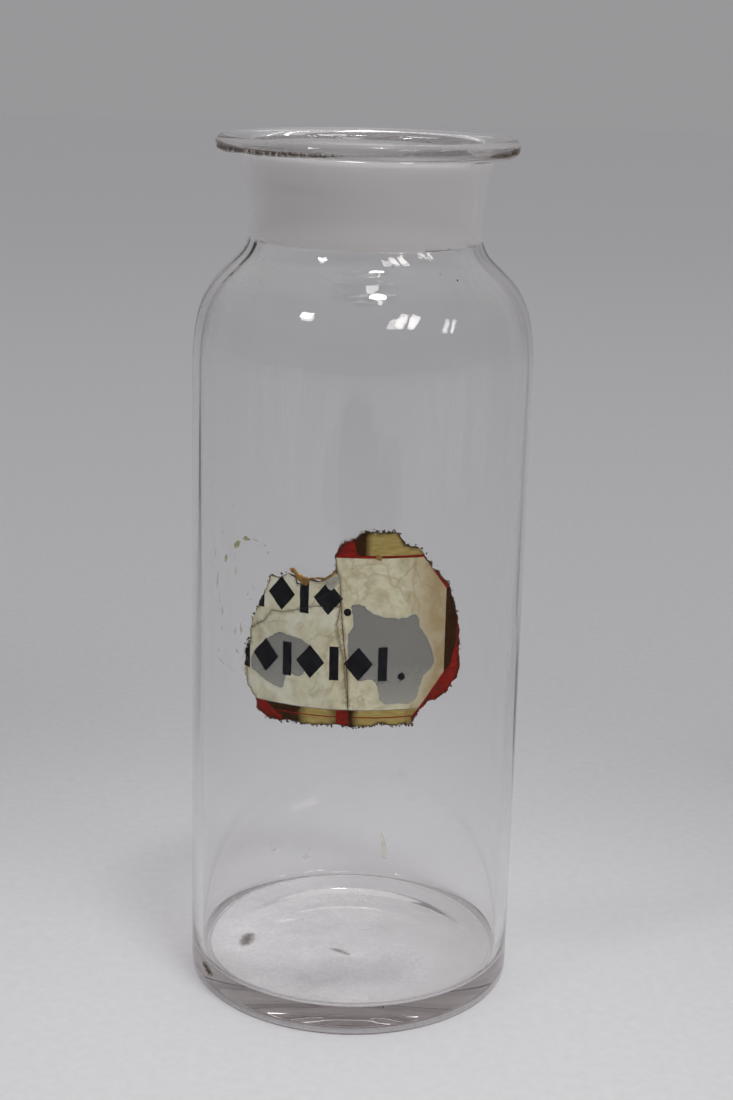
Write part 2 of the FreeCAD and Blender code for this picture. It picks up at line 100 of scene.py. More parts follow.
class Look:
    """A material's node tree, or the world's, with short ways to add nodes and to feed their inputs."""

    def __init__(self, name, kind="materials", output="OutputMaterial"):
        self.block = getattr(bpy.data, kind).new(name)
        self.block.use_nodes = True
        self.tree = self.block.node_tree
        self.tree.nodes.clear()
        self.output = self.node(output)

    def node(self, kind, settings=None, **inputs):
        made = self.tree.nodes.new("ShaderNode" + kind)
        for name, value in (settings or {}).items():
            setattr(made, name, value)
        for name, value in inputs.items():
            self.feed(made.inputs[name.replace("_", " ")], value)
        return made

    def feed(self, socket, value):
        if isinstance(value, bpy.types.NodeSocket):
            self.tree.links.new(value, socket)
        elif isinstance(value, tuple) and len(value) == 3 and socket.type == "RGBA":
            socket.default_value = (*value, 1.0)
        else:
            socket.default_value = value

    def place(self, scale=(1.0, 1.0, 1.0)):
        """Object coordinates in millimetres, stretched by scale."""
        coordinates = self.node("TexCoord").outputs["Object"]
        scale = tuple(part / MM for part in scale)
        return self.node("Mapping", Vector=coordinates, Scale=scale).outputs["Vector"]

    def label_place(self):
        return self.node("Attribute", {"attribute_name": "label_place"}).outputs["Vector"]

    def noise(self, size, detail=3.0, roughness=0.55, scale=(1.0, 1.0, 1.0), place=None, distortion=0.0):
        """Noise whose features are about size millimetres across."""
        if place is None:
            place = self.place(scale)
        return self.node(
            "TexNoise", Vector=place, Scale=1.0 / size, Detail=detail, Roughness=roughness,
            Distortion=distortion,
        ).outputs["Fac"]

    def grain(self, size, detail=3.0, roughness=0.55, stretch=(1.0, 1.0, 1.0), distortion=0.0):
        """The same noise in the label's own coordinates."""
        place = self.node("Mapping", Vector=self.label_place(), Scale=stretch).outputs["Vector"]
        return self.noise(size, detail, roughness, place=place, distortion=distortion)

    def share(self, value, low, high):
        """0 at low and 1 at high."""
        return self.node("MapRange", Value=value, From_Min=low, From_Max=high).outputs["Result"]

    def along(self, direction, low, high):
        """0 at low and 1 at high along the label's across (0) or up (1) coordinate."""
        part = self.node("SeparateXYZ", Vector=self.label_place()).outputs[direction]
        return self.share(part, low, high)

    def ramp(self, value, stops, easing="LINEAR"):
        made = self.node("ValToRGB", Fac=value)
        made.color_ramp.interpolation = easing
        elements = made.color_ramp.elements
        while len(elements) < len(stops):
            elements.new(0.5)
        for element, (position, colour) in zip(elements, stops):
            element.position = position
            element.color = (*colour, 1.0) if isinstance(colour, tuple) else (colour, colour, colour, 1.0)
        return made.outputs["Color"]

    def mix(self, share, first, second, blend="MIX"):
        made = self.node("MixRGB", {"blend_type": blend}, Fac=share, Color1=first, Color2=second)
        return made.outputs["Color"]

    def maths(self, operation, first, second):
        made = self.node("Math", {"operation": operation})
        self.feed(made.inputs[0], first)
        self.feed(made.inputs[1], second)
        return made.outputs["Value"]

    def times(self, first, second):
        return self.maths("MULTIPLY", first, second)

    def stored(self, name, strength=None):
        """A number that the mesh stores at each of its points, times strength where that is given."""
        number = self.node("Attribute", {"attribute_name": name}).outputs["Fac"]
        return number if strength is None else self.times(number, strength)

    def bump(self, height, distance, strength, below=None):
        made = self.node("Bump", Height=height, Distance=distance * MM, Strength=strength)
        if below is not None:
            self.feed(made.inputs["Normal"], below)
        return made.outputs["Normal"]

    def surface(self, shader):
        self.tree.links.new(shader, self.output.inputs["Surface"])

    def coat(self, tone, **inputs):
        """Ends the look with one Principled shader and gives the material."""
        self.surface(self.node("BsdfPrincipled", Base_Color=tone, **inputs).outputs["BSDF"])
        return self.block

    def glass(self, tone, shade, **inputs):
        """Ends the look with glass that light from lamps and lit surfaces passes straight through,
        dimmed to shade."""
        shader = self.node("BsdfPrincipled", Base_Color=tone, **inputs).outputs["BSDF"]
        paths = self.node("LightPath").outputs
        clear = self.node("BsdfTransparent", Color=shade).outputs["BSDF"]
        for path in ("Is Diffuse Ray", "Is Shadow Ray"):
            mixed = self.node("MixShader", Fac=paths[path])
            self.tree.links.new(shader, mixed.inputs[1])
            self.tree.links.new(clear, mixed.inputs[2])
            shader = mixed.outputs["Shader"]
        self.surface(shader)
        return self.block

    def deepen(self):
        """The grey-mauve tint of the jar's glass, which grows with its depth."""
        depth = self.node("VolumeAbsorption", Color=(0.775, 0.745, 0.74), Density=40.0)
        self.tree.links.new(depth.outputs["Volume"], self.output.inputs["Volume"])


def jar_glass_look():
    look = Look("jar_glass")
    up = look.maths("DIVIDE", look.node("SeparateXYZ", Vector=look.place()).outputs["Z"], HEIGHT)
    above_base = look.ramp(up, [(0.06, 0.0), (0.14, 1.0)])
    on_shoulder = look.ramp(up, [(0.76, 0.0), (0.80, 1.0), (0.89, 1.0), (0.92, 0.0)])
    ripples = look.times(look.noise(9.0, 1.0, scale=(1.0, 1.0, 0.35)), above_base)
    rings = look.times(look.noise(2.2, 2.0, scale=(0.04, 0.04, 1.0)), on_shoulder)
    look.deepen()
    return look.glass(
        (0.99, 0.99, 0.99), (0.96, 0.955, 0.96), Roughness=0.0, IOR=1.5, Transmission_Weight=1.0,
        Normal=look.bump(rings, 0.05, 0.5, look.bump(ripples, 0.02, 0.35)),
    )


def ground_glass_look():
    look = Look("ground_glass")
    rings = look.bump(look.noise(1.2, 4.0, scale=(0.12, 0.12, 1.0)), 0.05, 0.5)
    look.deepen()
    return look.glass(
        (1.0, 0.995, 0.99), (0.9, 0.9, 0.9), Roughness=0.4, IOR=1.5, Transmission_Weight=0.5,
        Normal=look.bump(look.noise(0.25, 2.0), 0.02, 0.4, rings),
    )


# --- Jar ---

WALL = 2.9
HEEL = 2.0
RING = 37.0
PUSH_UP = 2.6
FLOOR = 7.5
INNER_HEEL = 2.5
SHOULDER_START = 176.0
SOFT = 58.0
SOFT_TURN = math.radians(12.0)
HARD = 22.0
SLOPE = math.radians(46.0)
FOOT = 10.5
NECK = 30.5
FLARE_TURN = math.radians(15.7)
LIP_ROOT = 2.4
LIP = 39.4
LIP_THICK = 4.2
LIP_EDGE = 1.9
SEAT_FOOT = 208.0
SEAT_FOOT_RADIUS = 28.3
SEAT_TOP = 232.0
SEAT_TOP_RADIUS = 29.5
MOUTH = 31.9
DISH = 0.7
LIP_START = 228.0
MOUTH_BEND = 2.6
STEP_IN = 0.38
STEP_DOWN = 0.15
TINY = 1e-9
AROUND = 240  # points around the jar
FLOOR_EDGE = BODY - WALL - INNER_HEEL

SOFT_CENTRE = (BODY - SOFT, SHOULDER_START)
HARD_CENTRE = (
    SOFT_CENTRE[0] + (SOFT - HARD) * math.cos(SOFT_TURN),
    SOFT_CENTRE[1] + (SOFT - HARD) * math.sin(SOFT_TURN),
)
FOOT_ACROSS = NECK + FOOT
SLOPE_RUN = FOOT_ACROSS - HARD_CENTRE[0] - (HARD + FOOT) * math.cos(SLOPE)
FOOT_CENTRE = (
    FOOT_ACROSS,
    HARD_CENTRE[1] + (HARD + FOOT) * math.sin(SLOPE) - SLOPE_RUN / math.tan(SLOPE),
)


def arc(centre, radius, start, end, count):
    """Points along an arc, its first left out. Angles are from +r towards +z."""
    turns = [start + (end - start) * step / count for step in range(1, count + 1)]
    return [(centre[0] + radius * math.cos(turn), centre[1] + radius * math.sin(turn)) for turn in turns]


def run(start, end, count):
    """Points along a straight stretch, its first left out."""
    steps = [step / count for step in range(1, count + 1)]
    return [(start[0] + (end[0] - start[0]) * t, start[1] + (end[1] - start[1]) * t) for t in steps]


def shoulder(depth):
    """From the top of the straight wall to the neck's waist, depth inside the outer surface."""
    points = arc(SOFT_CENTRE, SOFT - depth, 0.0, SOFT_TURN, 12)
    points += arc(HARD_CENTRE, HARD - depth, SOFT_TURN, SLOPE, 16)
    below = (
        FOOT_CENTRE[0] - (FOOT + depth) * math.cos(SLOPE),
        FOOT_CENTRE[1] - (FOOT + depth) * math.sin(SLOPE),
    )
    points += run(points[-1], below, 4)
    points += arc(FOOT_CENTRE, FOOT + depth, math.pi + SLOPE, math.pi, 12)
    return points


def outer_profile():
    """From the middle of the underside, up the outside, to the lip's top edge."""
    hollow = (RING**2 + PUSH_UP**2) / (2 * PUSH_UP)
    swing = math.asin(RING / hollow)
    quarter = math.pi / 2
    points = arc((0.0, PUSH_UP - hollow), hollow, quarter, quarter - swing, 26)
    points += run(points[-1], (BODY - HEEL, 0.0), 4)
    points += arc((BODY - HEEL, HEEL), HEEL, -quarter, 0.0, 8)
    points += run(points[-1], (BODY, SHOULDER_START), 30)
    points += shoulder(0.0)
    under = HEIGHT - LIP_THICK
    flare_up = under - LIP_ROOT * (1 - math.sin(FLARE_TURN))
    flare = (flare_up - FOOT_CENTRE[1]) / math.sin(FLARE_TURN)
    points += arc((NECK + flare, FOOT_CENTRE[1]), flare, math.pi, math.pi - FLARE_TURN, 12)
    root = (points[-1][0] + LIP_ROOT * math.cos(FLARE_TURN), under - LIP_ROOT)
    points += arc(root, LIP_ROOT, math.pi - FLARE_TURN, quarter, 8)
    edge = LIP - LIP_EDGE
    points += run(points[-1], (edge, under), 5)
    points += arc((edge, under + LIP_EDGE), LIP_EDGE, -quarter, 0.0, 8)
    points += arc((edge, HEIGHT - LIP_EDGE), LIP_EDGE, 0.0, quarter, 8)
    return points


def mouth_profile():
    """From the lip's top edge, over the dished top and the rounded mouth, to the top of the ground seat."""
    points = run((LIP - LIP_EDGE, HEIGHT), (MOUTH, HEIGHT - DISH), 6)
    start, end = Vector(points[-1]), Vector((SEAT_TOP_RADIUS, SEAT_TOP))
    chord = end - start
    side = Vector((-chord.y, chord.x)).normalized()
    middle = start + chord / 2 + side * math.sqrt(MOUTH_BEND**2 - (chord.length / 2) ** 2)
    turns = [math.atan2(point.y - middle.y, point.x - middle.x) for point in (start, end)]
    return points + arc(middle, MOUTH_BEND, *turns, 8)


def inner_profile():
    """From the foot of the ground seat, over the small step there, down to the middle of the floor."""
    inside = [point for point in shoulder(WALL) if point[1] < SEAT_FOOT - 2 * STEP_DOWN]
    points = [(SEAT_FOOT_RADIUS - STEP_IN, SEAT_FOOT - STEP_DOWN)] + inside[::-1]
    points += run(points[-1], (BODY - WALL, SHOULDER_START), 2)
    points += run(points[-1], (BODY - WALL, FLOOR + INNER_HEEL), 30)
    points += arc((FLOOR_EDGE, FLOOR + INNER_HEEL), INNER_HEEL, 0.0, -math.pi / 2, 10)
    return points + run(points[-1], (0.6, FLOOR), 24)


def swell(value, low, high):
    """0 below low, 1 above high, and a smooth step between them."""
    share = min(1.0, max(0.0, (value - low) / (high - low)))
    return share * share * (3.0 - 2.0 * share)


def bumpiness(x, y, z):
    return noise.noise(Vector((x, y, z)))


def blown(radius, height, turn, inside):
    """The small unevenness of hand-blown glass: a wavy inside, an uneven shoulder, a tilted lip, and a
    faint ring in the floor. It only ever takes glass away from the box."""
    east, north = math.cos(turn), math.sin(turn)
    slow = bumpiness(east * 2.2, north * 2.2, height / 60.0)
    if inside:
        share = swell(height, 40.0, 120.0) * swell(radius, 5.0, 27.0)
        streaks = bumpiness(east * 7.0, north * 7.0, height / 80.0)
        radius += share * (0.22 * streaks + 0.15 * slow)
    elif height > 150.0:
        radius -= min(1.0, (height - 150.0) / 30.0) * 0.10 * (1.0 + slow)
    if height > LIP_START:
        lift = (east - 1.0) * 0.2
        if height < HEIGHT - LIP_EDGE:
            lift = -0.45 * east - 0.1
        height += lift * min(1.0, (height - LIP_START) / 2.0)
    if height < FLOOR + 1.0 and radius < 30.0:
        ring = math.exp(-(((radius - 12.5) / 1.6) ** 2)) * (0.6 + 0.4 * math.sin(turn + 0.5))
        height += (-0.08 if inside else 0.12) * ring
    return radius, height


def as_piece(name, mesh, sharp=50.0):
    """A smooth-shaded piece from a bmesh. Edges sharper than sharp degrees stay sharp."""
    bmesh.ops.recalc_face_normals(mesh, faces=mesh.faces)
    data = bpy.data.meshes.new(name)
    mesh.to_mesh(data)
    mesh.free()
    data.shade_smooth()
    data.set_sharp_from_angle(angle=math.radians(sharp))
    return add(name, data)


def join(mesh, lower, upper):
    """A ring of faces between two closed rings of points."""
    for step in range(len(lower)):
        after = (step + 1) % len(lower)
        mesh.faces.new((lower[step], lower[after], upper[after], upper[step]))


def lathe(name, profile, start, end):
    """A surface of revolution. profile is a list of (radius, height, inside); start and end are the
    heights at which its first and last rings close on the axis."""
    mesh = bmesh.new()
    rings = []
    for radius, height, inside in profile:
        ring = []
        for turn in circle(AROUND):
            far, high = blown(radius, height, turn, inside)
            ring.append(mesh.verts.new((far * math.cos(turn) * MM, far * math.sin(turn) * MM, high * MM)))
        rings.append(ring)
    for lower, upper in zip(rings, rings[1:]):
        join(mesh, lower, upper)
    first, last = (mesh.verts.new((0.0, 0.0, height * MM)) for height in (start, end))
    for step in range(AROUND):
        after = (step + 1) % AROUND
        mesh.faces.new((first, rings[0][after], rings[0][step]))
        mesh.faces.new((last, rings[-1][step], rings[-1][after]))
    return as_piece(name, mesh)


def make_jar():
    outside = outer_profile() + mouth_profile()
    seat = run((SEAT_TOP_RADIUS, SEAT_TOP), (SEAT_FOOT_RADIUS, SEAT_FOOT), 24)
    profile = [(*point, False) for point in outside + seat] + [(*point, True) for point in inner_profile()]
    jar = lathe("jar_blown", profile, PUSH_UP, FLOOR)
    jar.data.materials.append(jar_glass_look())
    jar.data.materials.append(ground_glass_look())
    first = len(outside) - 1
    for face in jar.data.polygons:
        if first <= face.index // AROUND < first + len(seat):
            face.material_index = 1
    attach(jar, "root")
    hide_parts("jar_glass")


# --- Label outlines ---

# These are the cracks and edges of the CAD shards, in the same coordinates.
CRACK_TOP = [(-5.7, 19.0), (-5.5, 16.2), (-4.5, 13.5), (-4.1, 8.0)]
CRACK_RIGHT = [(-3.7, 2.5), (-3.1, -4.0), (-2.4, -9.0), (-2.0, -14.0), (-1.7, -21.0)]
CRACK_LEFT = [(-5.2, 0.6), (-4.3, -4.0), (-3.0, -9.0), (-2.6, -14.0)]
CRACK_BOTTOM = [(-1.7, -21.0), (-1.5, -26.0)]
CRACK_LEVEL = [
    (-29.3, -2.8), (-25.1, 0.0), (-22.8, 3.0), (-20.0, 3.0), (-16.5, 3.9), (-10.7, 5.7), (-4.2, 6.0),
]
CRACK_CHIP = [(-29.5, -5.7), (-30.2, -8.0), (-30.3, -12.0), (-30.6, -17.4)]
CRACK_SMALL = [(-11.9, 5.6), (-10.9, 7.2), (-8.6, 8.2), (-8.1, 9.0), (-6.1, 10.4)]
RIGHT_EDGE = [
    (0.5, -26.2), (3.6, -26.0), (6.7, -25.1), (11.3, -25.8), (15.1, -25.8), (15.8, -24.2), (17.7, -22.0),
    (19.3, -20.3), (22.3, -19.8), (25.4, -17.9), (27.5, -15.3), (28.8, -11.7), (28.7, -4.0), (27.3, 2.7),
    (25.3, 9.1), (24.7, 11.0), (22.0, 14.0), (19.4, 16.3), (17.0, 19.7), (15.0, 21.2), (12.2, 21.8),
    (10.2, 24.7), (8.7, 25.5), (5.4, 25.4), (0.9, 25.3), (-0.3, 23.4), (-3.3, 23.0), (-4.8, 21.5),
]
TORN_EDGE = [
    (-5.8, 15.0), (-7.9, 12.7), (-10.2, 12.0), (-12.3, 12.3), (-13.8, 11.0), (-15.9, 10.9), (-16.2, 12.5),
    (-18.4, 13.4), (-20.6, 11.7), (-23.1, 12.0),
]
UPPER_LEFT_EDGE = [(-24.2, 9.5), (-25.2, 7.4), (-26.8, 3.4), (-28.2, 1.2), (-28.7, -0.7)]
CHIP_EDGE = [(-31.9, -15.8), (-32.2, -13.9), (-31.9, -12.4), (-31.6, -9.5), (-31.0, -6.7)]
LOWER_LEFT_EDGE = [
    (-4.9, -25.7), (-9.5, -25.9), (-15.1, -26.1), (-22.7, -26.2), (-24.8, -25.7), (-26.8, -24.2),
    (-27.6, -22.0), (-28.8, -19.8),
]
OUTER_EDGE = (
    RIGHT_EDGE + CRACK_TOP[:3] + TORN_EDGE + UPPER_LEFT_EDGE + CRACK_LEVEL[:1] + CRACK_CHIP[:1]
    + CHIP_EDGE[::-1] + CRACK_CHIP[-1:] + LOWER_LEFT_EDGE[::-1] + CRACK_BOTTOM[1:]
)
SHARDS = {
    "pane_right": CRACK_TOP + CRACK_RIGHT + CRACK_BOTTOM[1:] + RIGHT_EDGE,
    "pane_upper_left": CRACK_LEVEL + CRACK_TOP[:1:-1] + TORN_EDGE + UPPER_LEFT_EDGE,
    "pane_lower_left": CRACK_LEVEL + CRACK_LEFT + CRACK_BOTTOM + LOWER_LEFT_EDGE + CRACK_CHIP[::-1],
    "pane_sliver": CRACK_TOP[3:] + CRACK_RIGHT + CRACK_LEFT[::-1] + CRACK_LEVEL[-1:],
    "pane_chip": CRACK_CHIP + CHIP_EDGE,
}
LOST_RIGHT = [
    (-2.1, 6.8), (0.6, 6.6), (2.8, 5.3), (4.9, 3.7), (8.7, 2.8), (12.8, 2.9), (15.8, 4.1), (16.9, 0.3),
    (18.7, -2.7), (20.8, -7.7), (20.7, -11.0), (17.6, -13.4), (16.7, -16.7), (16.1, -20.4), (6.6, -20.2),
    (6.1, -16.5), (4.6, -12.7), (1.1, -14.1), (-0.8, -10.4), (-2.3, -5.8), (-2.4, -2.0), (-0.6, 0.8),
]
LOST_LEFT = [
    (-20.4, -1.8), (-16.4, -3.3), (-13.6, -3.6), (-11.2, -5.9), (-12.1, -10.3), (-14.8, -13.9),
    (-17.8, -12.9), (-18.7, -15.0), (-19.2, -17.2), (-22.2, -17.3), (-26.6, -15.0), (-29.2, -13.7),
    (-29.4, -10.4), (-25.0, -5.2),
]
AMBER_CHIP = [
    (-18.1, 14.5), (-16.6, 15.1), (-15.5, 14.0), (-12.3, 12.6), (-12.2, 10.8), (-13.9, 10.6),
    (-15.8, 12.0), (-16.6, 13.4), (-18.0, 13.5),
]
AMBER_DROP = (5.3, 18.8)
TORN_BEAD = [
    (-13.0, 12.2), (-12.3, 12.7), (-10.2, 13.0), (-8.2, 12.9), (-6.4, 14.3), (-5.4, 15.7), (-5.6, 18.0),
]
GREY_FLAKE = [
    (-8.2, 13.2), (-6.9, 13.6), (-5.6, 13.9), (-4.9, 13.2), (-5.1, 12.0), (-6.1, 10.9), (-6.9, 10.3),
    (-7.9, 10.7), (-8.3, 12.1),
]

# --- Label sizes ---

LABEL_MIDDLE = 115.5
PANE_BACK = PANE_FACE - 0.89
FILM_BACK = BODY + 0.03
FILM_FACE = BODY + 0.22
CREAM_BACK = PANE_BACK - 0.08
GILT_BACK = PANE_BACK - 0.04
PAINT_FACE = PANE_BACK + 0.02
MARK_BACK = PANE_BACK - 0.02
MARK_FACE = PANE_BACK + 0.03
CREAM_TOP = 18.7
CREAM_BOTTOM = -21.5
CREAM_RIGHT = 24.0
CLIP_ACROSS = 7.0
CLIP_UP = 9.0
GOLD_TOP = 19.4
GOLD_BOTTOM = -21.7
GOLD_END = 27.6
PINSTRIPE = -23.6
PINSTRIPE_WIDTH = 0.3
MARK_HEIGHT = 9.0
BAR_WIDTH = 2.4
LOZENGE_WIDTH = 7.6
DOT = 2.0
PITCH = 6.3
UPPER_ROW = (-26.3, 8.0, 4)
LOWER_ROW = (-30.8, -9.2, 7)
LEFT_END = -42.0
RIGHT_END = 34.0
DOWN_END = -32.0
UP_END = 32.0
HALF_CRACK = 0.04
SKIN = 0.01
WELD = 2e-7
# The gold: its side, where its darkening starts and ends along the label, how blotchy that is, and its shares
# between. The darkening is a painted reflection of dim surroundings in the leaf, with blotchy tarnishing on
# top.
GOLD_BANDS = (
    ("top", -2.0, 13.0, 0.5, [(0.0, 0.9), (0.24, 0.75), (0.42, 0.15), (0.8, 0.05), (1.0, 0.35)]),
    ("right", 24.0, 28.0, 0.7, [(0.0, 0.85), (0.5, 0.7), (1.0, 0.8)]),
    ("bottom", -25.0, 17.0, 0.45, [
        (0.0, 1.0), (0.21, 0.85), (0.31, 0.3), (0.39, 0.2), (0.45, 0.5), (0.55, 0.95), (0.66, 0.1),
        (0.86, 0.05), (0.92, 0.45),
    ]),
)

# --- Outlines and covers ---


def on_wall(across, up, radius):
    turn = across / PANE_FACE
    return Vector((radius * math.sin(turn), -radius * math.cos(turn), LABEL_MIDDLE + up)) * MM


def on_floor(across, up, height):
    return Vector((across, up, height)) * MM


def on_lip(turn, height, radius):
    """A place on the lip: degrees from the front line, millimetres up, millimetres from the axis."""
    angle = math.radians(turn)
    return Vector((radius * math.sin(angle), -radius * math.cos(angle), height)) * MM


def wander(point, size, layer):
    """A small 2-D vector of noise that depends only on where the point is. Each layer is a noise of its
    own, and size is how far its waves are apart."""
    push = noise.noise_vector(Vector((point[0] / size, point[1] / size, layer)))
    return np.array((push.x, push.y))


def from_middle(point):
    """0 over the middle of the label and 1 along its broken rim."""
    return swell(((point[0] + 1.5) / 27.0) ** 2 + (point[1] / 24.0) ** 2, 0.6, 1.0)


def broken(point):
    """The point moved as a fracture runs: finely along the cracks, roughly along the outer edges. Two
    shards that share a crack still fit, because the move depends only on the place."""
    rough = 0.08 + 0.34 * from_middle(point)
    return point + rough * wander(point, 2.4, 3.0) + 0.8 * rough * wander(point, 0.7, 9.0)


def worn_away(point):
    """The point moved as the edge of a patch where paint has come away."""
    return point + 0.55 * wander(point, 2.8, 21.0) + 0.28 * wander(point, 0.9, 27.0)


def brushed(point):
    """The point moved as the edge of a brush stroke."""
    return point + 0.08 * wander(point, 1.6, 33.0)


def divided(line, step=0.4, closed=True):
    """The line with points added so that no two are further apart than about step."""
    corners = [np.array(corner, float) for corner in line]
    ends = corners[1:] + corners[:1] if closed else corners[1:]
    points = []
    for start, end in zip(corners, ends):
        count = max(1, round(float(np.hypot(*(end - start))) / step))
        points += [start + (end - start) * index / count for index in range(count)]
    return points if closed else points + corners[-1:]


def drawn(move, line, step=0.4, closed=True):
    """The line divided and each of its points moved."""
    return [move(point) for point in divided(line, step, closed)]


def rounded(outline, times=2):
    """The closed outline with its corners cut, and cut again."""
    points = [np.array(point, float) for point in outline]
    for _ in range(times):
        cut = []
        for start, end in zip(points, points[1:] + points[:1]):
            cut += [start * 0.75 + end * 0.25, start * 0.25 + end * 0.75]
        points = cut
    return points


def grown(outline, amount):
    """The closed outline moved outwards by amount, a number or a function of the point."""
    before = outline[-1:] + outline[:-1]
    after = outline[1:] + outline[:1]
    area = sum(a[0] * b[1] - b[0] * a[1] for a, b in zip(outline, after))
    side = 1.0 if area > 0 else -1.0
    moved = []
    for back, point, front in zip(before, outline, after):
        along = front - back
        outwards = np.array((along[1], -along[0])) * side / max(TINY, float(np.hypot(*along)))
        far = amount(point) if callable(amount) else amount
        moved.append(point + outwards * far)
    return moved


def ribbon(line, width):
    """The closed outline of a strip along an open line. It narrows towards both ends."""
    left, right = [], []
    last = len(line) - 1
    for index, point in enumerate(line):
        along = line[min(index + 1, last)] - line[max(index - 1, 0)]
        aside = np.array((-along[1], along[0])) / max(TINY, float(np.hypot(*along)))
        share = math.sqrt(max(0.0, math.sin(math.pi * index / last)))
        half = width / 2 * (0.15 + 0.85 * share)
        left.append(point + aside * half)
        right.append(point - aside * half)
    return left + right[::-1]


def within(places, *outlines):
    """Which of the places lie inside any of the closed outlines."""
    inside = np.zeros(len(places), bool)
    for outline in outlines:
        odd = np.zeros(len(places), bool)
        for start, end in zip(outline, outline[1:] + outline[:1]):
            if start[1] == end[1]:
                continue
            crosses = (start[1] > places[:, 1]) != (end[1] > places[:, 1])
            meets = (end[0] - start[0]) * (places[:, 1] - start[1]) / (end[1] - start[1]) + start[0]
            odd ^= crosses & (places[:, 0] < meets)
        inside |= odd
    return inside


def distance(places, *outlines):
    """How far each place is from the nearest of the closed outlines."""
    nearest = np.full(len(places), 1e3)
    for outline in outlines:
        for start, end in zip(outline, outline[1:] + outline[:1]):
            start, along = np.array(start), np.array(end) - np.array(start)
            share = ((places - start) @ along / (along @ along)).clip(0.0, 1.0)
            gap = places - start - share[:, None] * along
            nearest = np.minimum(nearest, np.hypot(gap[:, 0], gap[:, 1]))
    return nearest


def cover(outlines, spacing=0.8):
    """Triangles over everything that the outlines enclose, with every outline among their edges."""
    points, edges = [], []
    for outline in outlines:
        first = len(points)
        count = len(outline)
        points += [Vector(point) for point in outline]
        edges += [(first + index, first + (index + 1) % count) for index in range(count)]
    places = np.array([tuple(point) for point in points])
    low, high = places.min(axis=0), places.max(axis=0)
    for row in range(int((high[1] - low[1]) / spacing)):
        for column in range(int((high[0] - low[0]) / spacing)):
            spot = low + spacing * np.array((column + 0.5 + 0.5 * (row % 2), row + 0.5))
            points.append(Vector(spot + 0.4 * spacing * wander(spot, 0.9, 41.0)))
    corners, _, faces, *_ = delaunay_2d_cdt(points, edges, [], 0, 1e-5)
    corners = np.array([tuple(corner) for corner in corners])
    faces = np.array([tuple(face) for face in faces])
    return corners, faces, corners[faces].mean(axis=1)


def remember(piece, places):
    """Stores each point's place on the label, for the material to read."""
    spot = piece.data.attributes.new("label_place", "FLOAT_VECTOR", "POINT")
    spot.data.foreach_set("vector", [part for place in places for part in (place[0], place[1], 0.0)])


def sheet(name, corners, faces, inner, outer, stored=None, sharp=40.0, lay=on_wall):
    """A closed thin piece over the faces, between two radii, each a number or a function of the place.
    stored is numbers for the corners by name, for the material to read. lay puts a flat place and a
    radius into space."""
    used = sorted({int(corner) for face in faces for corner in face})
    mesh = bmesh.new()
    skins = []
    for radius in (inner, outer):
        skin = {}
        for corner in used:
            far = radius(*corners[corner]) if callable(radius) else radius
            skin[corner] = mesh.verts.new(lay(*corners[corner], far))
        skins.append(skin)
    back, front = skins
    sides = {}
    for face in faces:
        first, second, third = (int(corner) for corner in face)
        mesh.faces.new((front[first], front[second], front[third]))
        mesh.faces.new((back[third], back[second], back[first]))
        for start, end in ((first, second), (second, third), (third, first)):
            sides[(start, end)] = (end, start)
    for (start, end), reverse in sides.items():
        if reverse not in sides:
            mesh.faces.new((back[start], back[end], front[end], front[start]))
    piece = as_piece(name, mesh, sharp)
    remember(piece, [corners[corner] for corner in used] * 2)
    for title, numbers in (stored or {}).items():
        kept = piece.data.attributes.new(title, "FLOAT", "POINT")
        kept.data.foreach_set("value", [float(numbers[corner]) for corner in used] * 2)
    return piece


def dress(piece, look, slot, *nodes):
    """Gives a piece its material and its body, and hides the CAD nodes that it stands for. slot is not used.
    """
    piece.data.materials.append(look)
    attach(piece, "root")
    if nodes:
        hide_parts(*nodes)


def patch(name, outline, spacing, look, slot, inner, outer, *nodes, body=None, **how):
    """A dressed sheet over one closed outline. body gives its body at each corner."""
    corners, faces, middles = cover([outline], spacing)
    stored = {"body": body(corners)} if body else None
    piece = sheet(name, corners, faces[within(middles, outline)], inner, outer, stored, **how)
    dress(piece, look, slot, *nodes)


# --- Label looks ---


def pane_look():
    look = Look("label_glass")
    return look.glass(
        (0.97, 0.975, 0.96), (0.94, 0.945, 0.93), Roughness=0.0, IOR=1.22, Transmission_Weight=1.0,
        Normal=look.bump(look.grain(11.0, 1.0), 0.03, 0.3),
    )


